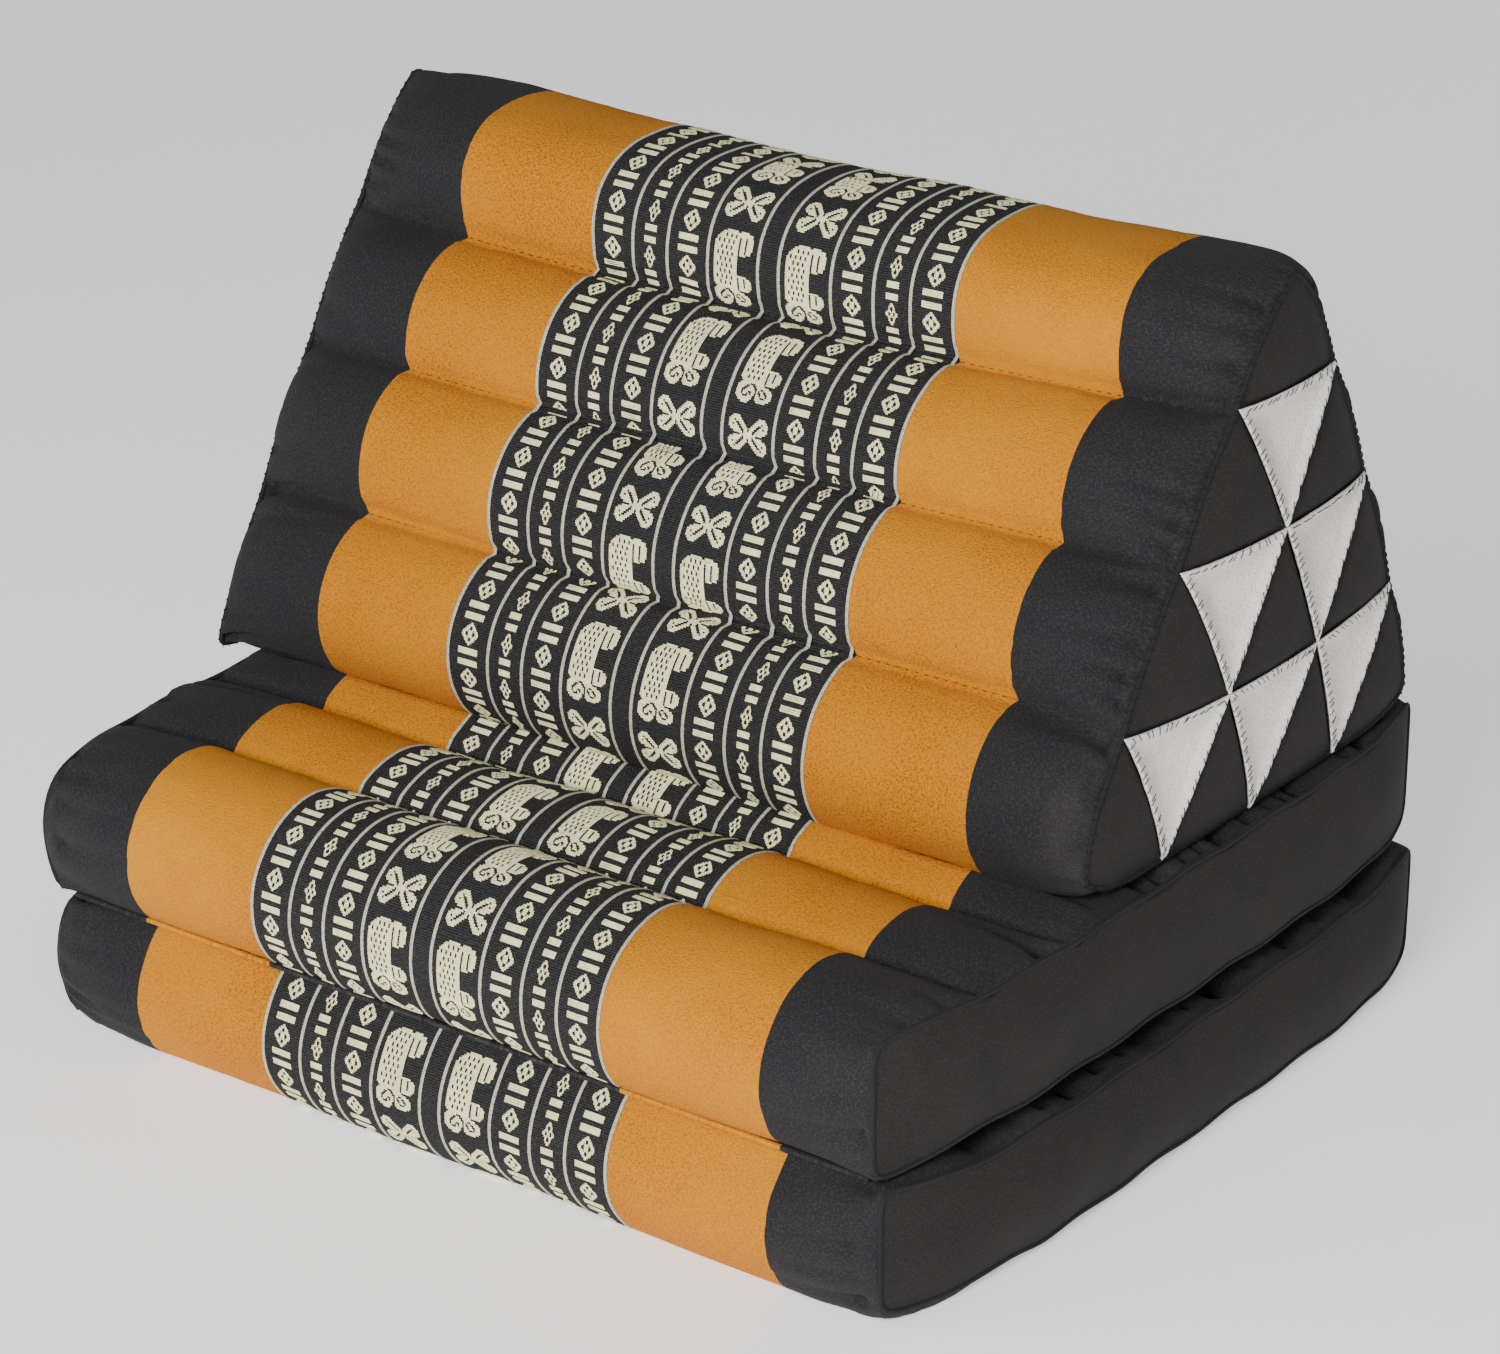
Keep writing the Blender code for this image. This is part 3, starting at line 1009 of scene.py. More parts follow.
    def whip_frames(self, side: int) -> list[Matrix]:
        """Where thread whips round the edges of an end's white patches.

        Args:
            side: 1 for the right end, -1 for the left one.

        Returns:
            A matrix for each stitch.
        """
        count = round(self.whip_edge / self.whip_pitch)
        reach = 1 - 3 * self.whip_corner_gap
        frames = []
        for number, (row, column) in enumerate(self.patch_cells(), 1):
            corners = self.patch_corners(row, column)
            seed = 7.0 * number + side
            for i in range(3):
                opposite = (i + 2) % 3
                for k in range(count):
                    share = (k + 0.5 + 0.2 * math.sin(k * 2.1 + i + number)) / count
                    local = [self.whip_corner_gap] * 3
                    local[i] += reach * (1 - share)
                    local[(i + 1) % 3] += reach * share
                    local[opposite] = self.whip_edge_gap
                    total = sum(local)
                    local = tuple(s / total for s in local)
                    ahead = list(local)
                    ahead[opposite] += self.whip_feel
                    ahead = tuple(s / (total + self.whip_feel) for s in ahead)
                    here = self.patch_point(side, corners, local, seed)
                    inward = self.patch_point(side, corners, ahead, seed) - here
                    inward.x = 0.0
                    slant = Vector((0, inward.z, -inward.y)) * self.whip_slant
                    frames.append(frame_matrix(here, inward + slant, Vector((side, 0, 0))))
        return frames

    def rim_path(self, side: int, count: int) -> list[Vector]:
        """Points round the rim of an end, where its panel is sewn to the rolls.

        Args:
            side: 1 for the right end, -1 for the left one.
            count: How many points.

        Returns:
            The points as a loop.
        """
        path = []
        for i in range(count):
            place = self.channels * i / count
            spot = self.end_point(side, self.rim_shares(place))
            wander = self.seam_wander * noise.noise(Vector((i * 0.37, side, 0.0)))
            z = max(spot.y, self.rest_z + GAP + self.seam_lift)
            path.append(Vector((side * (self.end_x[side] + wander), spot.x, z)) + CENTRING)
        return eased(path, 6)

    def band_points(self, x: np.ndarray, arcs: np.ndarray) -> np.ndarray:
        """Where points of the woven band lie on the smooth rolls.

        Args:
            x: Their places across the band.
            arcs: Their distances down the cloth from the ridge.

        Returns:
            An array of points.
        """
        y, z = self.line.at(arcs % self.line.length)
        depth = 0.5 - (x / np.where(x > 0, self.end_x[1], self.end_x[-1])) ** 2
        z = z - self.ridge_sag * depth * (z - self.rest_z) / (self.ridge_z - self.rest_z)
        return np.stack([x, y, z], axis=1) + np.array(CENTRING)


@dataclass
class SeatMat(StuffedBody):
    """One of the two stuffed mats.

    Its outer face is the one that is sat on: the top of the upper mat, and the underside of the
    lower one, which is folded beneath. up is 1 for the upper mat and -1 for the lower one.
    """

    name: str = "upper_mat"
    band_edge: float = 0.1075
    band_shift: float = -0.0050
    orange_edge: float = 0.1930
    up: int = 1
    first_valley: tuple[float, float] = (-0.167, 0.141)
    outer_valley_z: float = 0.141
    inner_valley_z: float = 0.083
    side_outer_z: float = 0.1480
    side_inner_z: float = 0.079
    front_roll: tuple[float, float] = (0.0465, 0.0)
    left_drop: float = 0.006
    # How far the mat lies to the right of the other parts
    slide: float = 0.0
    corner_x: float = 0.249
    front_y: float = -0.2355
    back_y: float = 0.2350
    channel: float = 0.067
    channels: int = 7
    first_valley_y: float = -0.167
    fold_y: float = -0.230
    fold_z: float = 0.073
    fold_half: float = 0.0013
    side_bow: float = 0.018
    outer_roll: float = 0.0125
    inner_roll: float = 0.0110
    back_edge_roll: float = 0.0100
    seam_dip: float = 0.0020
    corner_drop: float = 0.0040
    pressed_from_y: float = -0.075
    pressed_valley_z: float = 0.1462
    rest_z: float = 0.150
    side_swell: dict[int, tuple[float, int, float]] = field(
        default_factory=lambda: {1: (0.0070, 8, 1.0), -1: (0.0130, 12, 0.3)})
    round_from_x: float = 0.190
    end_power: float = 2.6
    channel_steps: int = 10
    height_steps: int = 10
    # The seams of the side panels: their lowest middle line, and how far they stray sideways
    seam_lowest: float = 0.0016
    seam_wander: float = 0.0008

    def __post_init__(self) -> None:
        """Works out the fold and the back seams, and measures the outer line."""
        self.fold = Vector((self.fold_y, self.fold_z + self.up * self.fold_half))
        self.back_outer = Vector((self.back_y, self.side_outer_z))
        self.back_inner = Vector((self.back_y, self.side_inner_z))
        first, last = (self.channels, -1) if self.up > 0 else (-1, self.channels)
        self.line = SectionLine(self.outline, first, last)

    def valley(self, channel: int, outer: bool) -> Vector:
        """A valley of the outer or inner face as (y, z), or the seam at the back edge.

        Args:
            channel: Its number from the front.
            outer: Whether it is the outer face.

        Returns:
            The valley.
        """
        if channel >= self.channels:
            return self.back_outer if outer else self.back_inner
        if outer and channel == 1:
            return Vector(self.first_valley)
        y = self.first_valley_y + self.channel * (channel - 1)
        z = self.outer_valley_z if outer else self.inner_valley_z
        if outer and self.up > 0 and y > self.pressed_from_y:
            z = self.pressed_valley_z
        return Vector((y, z))

    def front(self, share: float) -> Vector:
        """The big front roll, from the fold (0) round to the first outer valley (1).

        Args:
            share: How far round the roll, from 0 to 1.

        Returns:
            The point as (y, z).
        """
        height, fullness = self.front_roll
        first = self.valley(1, True)
        if self.up > 0:
            return roll_point(first, self.fold, height, 1 - share, fullness)
        return roll_point(self.fold, first, height, share, fullness)

    def face(self, place: float, outer: bool) -> Vector:
        """The outer or inner face at a place counted in channels from the front edge.

        Args:
            place: The place, counted in channels from the front edge.
            outer: Whether it is the outer face.

        Returns:
            The point as (y, z).
        """
        if outer and place < 1:
            return self.front(0.5 + place / 2)
        channel = min(int(place), self.channels - 1)
        start = self.fold if channel == 0 else self.valley(channel, outer)
        end = self.valley(channel + 1, outer)
        height = self.outer_roll if outer else self.inner_roll
        if outer == (self.up > 0):
            return roll_point(end, start, height, 1 - (place - channel))
        return roll_point(start, end, height, place - channel)

    def outline(self, place: float) -> Vector:
        """The outer line from the fold (-1) over the front roll to the back edge (7)."""
        return self.front((place + 1) / 2) if place < 0 else self.face(place, True)

    def back(self, share: float) -> Vector:
        """The back edge, from its inner seam (0) to its outer seam (1).

        Args:
            share: How far up the edge, from 0 to 1.

        Returns:
            The point as (y, z).
        """
        if self.up > 0:
            return roll_point(self.back_inner, self.back_outer, self.back_edge_roll, share)
        return roll_point(self.back_outer, self.back_inner, self.back_edge_roll, 1 - share)

    def side_seam(self, place: float, outer: bool) -> Vector:
        """The seam round the side panel at a place in channels from the front, as (y, z).

        Args:
            place: The place, counted in channels from the front edge.
            outer: Whether it is the outer face.

        Returns:
            The point.
        """
        if place >= 1:
            y = self.valley(int(place), outer).x
            if place < self.channels:
                y += (self.valley(int(place) + 1, outer).x - y) * (place - int(place))
        else:
            y = self.front_y + (self.valley(1, outer).x - self.front_y) * place
        dip = self.seam_dip * (0.5 + 0.5 * math.cos(2 * math.pi * place)) if place > 0.5 else 0.0
        away = 1 - min(1.0, place)
        if outer:
            z = self.side_outer_z - self.up * (dip + self.corner_drop * away ** 2)
        else:
            rise = 1 - away ** 2
            z = self.fold.y + (self.side_inner_z - self.fold.y) * rise + self.up * dip
        return Vector((y, z))

    def side(self, hand: int, place: float, share: float) -> Vector:
        """A point of the right (1) or left (-1) side panel as (x, y, z), with x taken positive.

        Args:
            hand: 1 for the right side panel, -1 for the left one.
            place: The place, counted in channels from the front edge.
            share: From 0 at the inner seam to 1 at the outer one.

        Returns:
            The point.
        """
        inner, outer = self.side_seam(place, False), self.side_seam(place, True)
        if hand < 0:
            outer.y -= self.left_drop
        point = inner.lerp(outer, share)
        depth = 2 * place / self.channels - 1
        bow = self.side_bow * (1 - abs(depth) ** 5)
        most, squareness, lost = self.side_swell[hand]
        swell = most * (1 - (2 * share - 1) ** 2) * (1 - lost * abs(depth) ** squareness)
        return Vector((self.corner_x + bow + swell, point.x, point.y))

    def point(self, u: float, v: float, w: float) -> Vector:
        """Where a point of the plain box, from -1 to 1 each way, lies on the stuffed mat.

        Args:
            u: Its place along the rolls.
            v: Its place from the front to the back.
            w: Its height.

        Returns:
            The point before it is centred.
        """
        place, share = (v + 1) / 2 * self.channels, (w * self.up + 1) / 2
        if abs(place - round(place)) < 1e-5:
            place = round(place)
        edge = self.side(1 if u > 0 else -1, place, share)
        if not at_end(u):
            if at_end(w):
                middle = self.face(place, share > 0.5)
            elif v < 0:
                middle = self.front(share / 2)
            else:
                middle = self.back(share)
            x = self.station(u, edge.x)
            turn = smooth_share(
                (x - self.round_from_x) / (edge.x - self.round_from_x), self.end_power)
            spot = middle.lerp(edge.yz, turn)
            edge = Vector((x, spot.x, spot.y))
        return Vector((math.copysign(edge.x, u) + self.slide, edge.y, edge.z))

    def rim_gap(self, place: Vector, x: float) -> float:
        """How far a point is from the end of its roll."""
        depth = 2 * (place.y - self.front_y) / (self.back_y - self.front_y) - 1
        return max(0.0, self.corner_x + self.side_bow * (1 - abs(depth) ** 5) - abs(x))

    def pressed(self, y: float, z: float) -> float:
        """Pressed flat by the floor, by the other mat and by the backrest.

        Args:
            y: How far back the point is.
            z: Its height.

        Returns:
            Its height once it is pressed.
        """
        if self.up > 0:
            z = max(self.fold_z + GAP / 2, z)
            return min(z, self.rest_z - PRESS_CLEARANCE) if y > self.pressed_from_y else z
        return min(self.fold_z - GAP / 2, max(z, PRESS_CLEARANCE))

    def make_cover(self, finishes: list[bpy.types.Material]) -> bpy.types.Object:
        """The cover with its stuffing: a box divided into rolls, colours and side panels.

        Args:
            finishes: The materials of its panels.

        Returns:
            The cover.
        """
        bm = bmesh.new()
        bmesh.ops.create_cube(bm, size=2.0)
        steps = (2 * self.half_steps, self.channels * self.channel_steps, self.height_steps)
        for axis, count in enumerate(steps):
            bmesh.ops.subdivide_edges(
                bm, edges=edges_along(bm, axis), cuts=count - 1, use_grid_fill=True
            )
        plain = {v: v.co.copy() for v in bm.verts}
        for vert in bm.verts:
            vert.co = self.point(*vert.co) + CENTRING
        self.mark(bm, plain)
        return self.finish_cover(bm, finishes, list(range(1, self.channels + 1)))

    def mark(self, bm: bmesh.types.BMesh, plain: dict) -> None:
        """Gives each face its panel and its UV, and keeps the sewn valleys sharp.

        Args:
            bm: The cover.
            plain: Where each point was on the plain box.
        """
        uv = bm.loops.layers.uv.new("cloth")
        crease = bm.edges.layers.float.new("crease_edge")
        for face in bm.faces:
            middle = sum((plain[v] for v in face.verts), Vector()) / len(face.verts)
            if at_end(middle.x):
                face.material_index = Panel.END.value
                for loop in face.loops:
                    loop[uv].uv = loop.vert.co.yz
                continue
            inner = middle.z * self.up < -1 + SAME
            at = math.copysign(self.station(middle.x, self.corner_x), middle.x)
            panel = Panel.BLACK if inner else self.panel_at(at)
            face.material_index = panel.value
            for loop in face.loops:
                spot = plain[loop.vert]
                share, place = (spot.z * self.up + 1) / 2, (spot.y + 1) / 2 * self.channels
                if inner:
                    arc = place * self.channel - 1.0
                elif middle.y < -1 + SAME:
                    arc = self.line.arc(share - 1)
                elif middle.y > 1 - SAME:
                    height = abs(self.side_outer_z - self.side_inner_z)
                    arc = self.line.arc(self.channels) + self.up * (share - 1) * height
                else:
                    arc = self.line.arc(place)
                loop[uv].uv = (loop.vert.co.x - CENTRING.x, arc)
        for edge in bm.edges:
            first, second = (plain[v] for v in edge.verts)
            place = (first.y + 1) / 2 * self.channels
            along = abs(first.y - second.y) < SAME
            sewn = abs(place - round(place)) < 1e-3 and round(place) in range(1, self.channels)
            on_roll = abs(first.x) < 1 and abs(second.x) < 1
            if at_end(first.z, second.z) and along and sewn and on_roll:
                edge[crease] = 1.0
            panels = {face.material_index for face in edge.link_faces}
            if len(panels) > 1 and at_end(first.x, second.x):
                edge[crease] = 0.45

    def panel_path(self, hand: int, steps: int = 12) -> list[Vector]:
        """Points round the seam of a side panel.

        Args:
            hand: 1 for the right side panel, -1 for the left one.
            steps: How many points to a channel.

        Returns:
            The points as a loop.
        """
        places = [i / steps for i in range(steps * self.channels)]
        loop = [(self.channels - p, 1.0) for p in places]
        loop += [(0.0, 1 - k / steps) for k in range(steps)]
        loop += [(p, 0.0) for p in places]
        loop += [(float(self.channels), k / steps) for k in range(steps)]
        path = []
        for i, (place, share) in enumerate(loop):
            spot = self.side(hand, place, share)
            wander = self.seam_wander * noise.noise(Vector((i * 0.41, hand * 5.0, self.up)))
            z = max(spot.z, self.seam_lowest)
            path.append(Vector((hand * (spot.x + wander) + self.slide, spot.y, z)) + CENTRING)
        return eased(path)

    def band_points(self, x: np.ndarray, arcs: np.ndarray) -> np.ndarray:
        """Where points of the woven band lie on the smooth rolls.

        Args:
            x: Their places across the band.
            arcs: Their distances down the cloth.

        Returns:
            An array of points.
        """
        y, z = self.line.at(arcs)
        return np.stack([x + self.slide, y, z], axis=1) + np.array(CENTRING)


@dataclass(frozen=True)
class Figure:
    """A woven figure as a drawn chart, a row for each pick of yarn."""

    rows: tuple[str, ...]
    width: float
    height: float

    def runs(self) -> list[tuple[float, float, float]]:
        """Each run of raised yarn as its left end, its right end and the middle of its row.

        Returns:
            The runs, from the first row to the last.
        """
        cell = self.width / len(self.rows[0])
        pick = self.height / len(self.rows)
        found = []
        for number, row in enumerate(self.rows):
            start = None
            for column, mark in enumerate(row + "."):
                if mark == "#" and start is None:
                    start = column
                elif mark != "#" and start is not None:
                    left = start * cell - self.width / 2
                    found.append((left, column * cell - self.width / 2, (number + 0.5) * pick))
                    start = None
        return found


ELEPHANT = Figure(rows=(
    "......#######..#####....", "....###################.", "...###.##.##.##########.",
    "..####.##.##.##.###.####", ".##############.###.####", ".#.##.##.##.###.###.####",
    "##.##.##.##.###.###.####", "###############.###.####", "####.##.##.####.###.####",
    "####.##.##.####.###.###.", "###############.###.###.", "##.##.##.##.###.####....",
    "##.##.##.##.###.........", "###############.........", "####.##.##.####.........",
    "####.##.##.####.........", "###############.........", "##.##.##.##.###.........",
    "##.##.##.##.###.........", "###############.........", "####.##.##.####.........",
    "####.##.##.####.........", "#####################...", "##.##.##.##.###.###.###.",
    "##.##.##.##.###.###.####", "###############.###.####", "####.##.##.####.###.####",
    "####.##.##.####.###.####", ".##############.#######.", "..#############.######..",
    ".######...######........", "#####..##..########.....", "####..####..##..#####...",
    "###..######.#.##..####..", "###.###..##.#..##..###..", "###.##.#.##.##.###.###..",
    "####...###..###...####..", ".#########..#########...", "..#######....######.....",
    "....####................",
), width=0.0230, height=0.0410)
CROSSED_PETALS = Figure(rows=(
    "..####...........####..", ".######.........######.", "###.####.......####.###",
    "####..###.....###..####", "##.##..###...###..##.##", "######..###.###..######",
    ".######..##.##..######.", "...#####.#####.#####...", ".......#########.......",
    "...#####.#####.#####...", ".######..##.##..######.", "######..###.###..######",
    "##.##..###...###..##.##", "####..###.....###..####", "###.####.......####.###",
    ".######.........######.", "..####...........####..",
), width=0.0232, height=0.0188)
WIDE_DIAMOND = Figure(rows=(
    "........###........", "......#######......", "....####...####....",
    "...#####...#####...", ".#####.#####.#####.", "####...#####...####",
    "####...#####...####", ".#####.#####.#####.", "...#####...#####...",
    "....####...####....", "......#######......", "........###........",
), width=0.0100, height=0.0115)
NARROW_DIAMOND = Figure(rows=(
    ".....###.....", "....#####....", "...##...##...", "...##...##...", "..####.####..",
    "###..###..###", "###..###..###", "..####.####..", "...##...##...", "...##...##...",
    "....#####....", ".....###.....",
), width=0.0068, height=0.0115)
WIDE_BAR = Figure(rows=("#", "#", "#"), width=0.0120, height=0.0034)
NARROW_BAR = Figure(rows=("#", "#", "#"), width=0.0072, height=0.0034)


@dataclass(frozen=True)
class Column:
    """A column of figures down the cloth, which repeats."""

    centre: float
    repeat: float
    # Each figure with its distance from the start of the repeat
    figures: tuple[tuple[Figure, float], ...]


@dataclass
class WovenBand:
    """The cream figures and lines that stand proud of the band of one body."""

    body: Backrest | SeatMat
    # The sewn valleys that the band crosses, counted in channels
    valleys: list[int]
    # Where the top of one elephant lies, by its distance down the rolls
    elephant_at: float
    # The cloth that each sewn valley takes up
    take_up: float
    # Cream lines between the columns, as shares of the distance of the edge line from the middle
    line_shares: tuple[float, ...] = (0.058, 0.343, 0.572, 0.770, 1.0)
    line_width: float = 0.0021
    line_crest: float = 0.6
    line_height: float = 0.00035
    line_step: float = 0.0030
    animal_repeat: float = 0.0725
    borders_per_animal: int = 3
    # How far after the elephant's top the crossed petals start, and where the diamond and the
    # two bars of a border start
    petals_after: float = 0.0474
    border_places: tuple[float, ...] = (-0.00565, 0.00735, 0.01345)
    yarn_height: float = 0.00050
    yarn_root: float = 0.00012
    # How much of a pick of yarn its rounded ends take
    yarn_taper: float = 0.00025
    # How far a pick of yarn reaches from its middle, so that neighbouring picks join
    pick_reach: float = 0.60

    def __post_init__(self) -> None:
        """Finds the lines and the seams."""
        edge = self.body.band_edge - self.line_width / 2
        self.line_places = [share * edge for share in self.line_shares]
        self.seams = sorted(self.body.line.arc(valley) for valley in self.valleys)

    def flat(self, arc: float) -> float:
        """How far down the flat cloth a place on the rolls is."""
        return arc + self.take_up * sum(seam < arc for seam in self.seams)

    def sewn(self, down: float) -> float | None:
        """Where a place down the flat cloth lies on the rolls, or None if a seam hides it.

        Args:
            down: The distance down the flat cloth.

        Returns:
            The distance down the rolls.
        """
        for seam in self.seams:
            if down <= seam:
                return down
            if down < seam + self.take_up:
                return None
            down -= self.take_up
        return down if down < self.body.line.length else None

    def columns(self) -> list[Column]:
        """The columns of figures from left to right.

        Returns:
            The columns.
        """
        centres = [(a + b) / 2 for a, b in zip(self.line_places, self.line_places[1:])]
        diamond, *bars = self.border_places
        wide = ((WIDE_DIAMOND, diamond), *((WIDE_BAR, bar) for bar in bars))
        narrow = ((NARROW_DIAMOND, diamond), *((NARROW_BAR, bar) for bar in bars))
        animals = ((ELEPHANT, 0.0), (CROSSED_PETALS, self.petals_after))
        made = []
        for hand in (-1, 1):
            for centre, figures in zip(centres, (animals, wide, narrow, wide)):
                share = 1 if figures is animals else self.borders_per_animal
                made.append(Column(self.body.band_shift + hand * centre,
                                   self.animal_repeat / share, figures))
        return made

    def repeat_tile(self, column: Column) -> bpy.types.Mesh:
        """One repeat of a column, flat: x across, y down the cloth, z the height of the yarn.

        Args:
            column: The column.

        Returns:
            The mesh of one repeat.
        """
        bm = bmesh.new()
        for figure, start in column.figures:
            pick = figure.height / len(figure.rows)
            for left, right, down in figure.runs():
                made = bmesh.ops.create_grid(bm, x_segments=3, y_segments=2, size=1.0)
                length = right - left
                taper = min(self.yarn_taper, length / 3)
                for vert in made["verts"]:
                    u, v = vert.co.xy
                    crest = abs(v) < 0.5 and abs(u) < 0.5
                    if abs(u) < 0.5:
                        u = math.copysign(1 - 2 * taper / length, u)
                    vert.co = Vector((
                        column.centre + (left + right) / 2 + u * length / 2,
                        start + down + v * pick * self.pick_reach,
                        self.yarn_height if crest else -self.yarn_root,
                    ))
        return mesh_of("tile", bm)

    def make_figures(self, cover: bpy.types.Object,
                     finish: bpy.types.Material) -> bpy.types.Object:
        """All the woven figures of the band, laid on the cover.

        Args:
            cover: The finished cover.
            finish: The yarn.

        Returns:
            The figures.
        """
        bm = bmesh.new()
        for column in self.columns():
            tile = self.repeat_tile(column)
            start = self.flat(self.elephant_at) % column.repeat - column.repeat
            tile.transform(Matrix.Translation((0, start, 0)))
            while start < self.flat(self.body.line.length):
                bm.from_mesh(tile)
                tile.transform(Matrix.Translation((0, column.repeat, 0)))
                start += column.repeat
            bpy.data.meshes.remove(tile)
        places = {v: self.sewn(v.co.y) if v.co.y > 0 else None for v in bm.verts}
        hidden = [v for v, place in places.items() if place is None]
        for vert, place in places.items():
            vert.co.y = vert.co.y if place is None else place
        bmesh.ops.delete(bm, geom=hidden, context="VERTS")
        return self.lay(f"{self.body.name}_figures", bm, cover, finish)

    def make_lines(self, cover: bpy.types.Object,
                   finish: bpy.types.Material) -> bpy.types.Object:
        """The cream lines between the columns and at the edges of the band.

        Args:
            cover: The finished cover.
            finish: The yarn.

        Returns:
            The lines.
        """
        bm = bmesh.new()
        length = self.body.line.length
        steps = round(length / self.line_step)
        for place in [hand * p for hand in (-1, 1) for p in self.line_places]:
            made = bmesh.ops.create_grid(bm, x_segments=3, y_segments=steps, size=1.0)
            for vert in made["verts"]:
                u, v = vert.co.xy
                crest = abs(u) < 0.5
                u = math.copysign(self.line_crest, u) if crest else u
                vert.co = Vector((
                    self.body.band_shift + place + u * self.line_width / 2,
                    length * (v + 1) / 2, self.line_height if crest else -self.yarn_root,
                ))
        return self.lay(f"{self.body.name}_lines", bm, cover, finish)

    def lay(self, name: str, bm: bmesh.types.BMesh, cover: bpy.types.Object,
            finish: bpy.types.Material) -> bpy.types.Object:
        """Wraps flat yarn round the rolls, on the surface of the cover.

        Args:
            name: The name of the piece.
            bm: The flat yarn.
            cover: The finished cover.
            finish: The yarn's material.

        Returns:
            The piece.
        """
        uv = bm.loops.layers.uv.new("cloth")
        for face in bm.faces:
            for loop in face.loops:
                loop[uv].uv = loop.vert.co.xy
        piece = add_piece(name, bm, [finish], turn_out=False)
        mesh = piece.data
        flat = np.zeros(len(mesh.vertices) * 3)
        mesh.vertices.foreach_get("co", flat)
        flat = flat.reshape(-1, 3)
        smooth = self.body.band_points(flat[:, 0], flat[:, 1])
        surface = bmesh.new()
        surface.from_mesh(cover.data)
        tree = BVHTree.FromBMesh(surface)
        surface.free()
        placed = np.empty_like(smooth)
        for i, spot in enumerate(smooth):
            nearest, normal, _, _ = tree.find_nearest(Vector(spot))
            placed[i] = nearest + normal * flat[i, 2]
        mesh.vertices.foreach_set("co", placed.ravel())
        mesh.update()
        if self.facing(mesh, tree) < 0:
            mesh.flip_normals()
        return hand_over(piece, Cloth.CREAM)

    @staticmethod
    def facing(mesh: bpy.types.Mesh, tree: BVHTree) -> float:
        """Whether the yarn's faces point away from the cover: above 0 if they do.

        Args:
            mesh: The yarn.
            tree: The surface of the cover.

        Returns:
            The sum of how far some of the faces point outwards.
        """
        tested_every = 97
        total = 0.0
        for face in list(mesh.polygons)[::tested_every]:
            _, normal, _, _ = tree.find_nearest(face.center)
            total += face.normal.dot(normal)
        return total


def node(tree: bpy.types.NodeTree, kind: str, inputs: dict | None = None,
         **settings: object) -> bpy.types.Node:
    """Adds a shader node.

    Args:
        tree: The node tree.
        kind: The node's type.
        inputs: Values or sockets for its inputs, by name or number.
        settings: Its other settings.

    Returns:
        The node.
    """
    made = tree.nodes.new(kind)
    for name, value in settings.items():
        setattr(made, name, value)
    for name, value in (inputs or {}).items():
        if isinstance(value, bpy.types.NodeSocket):
            tree.links.new(value, made.inputs[name])
        else:
            made.inputs[name].default_value = value
    return made


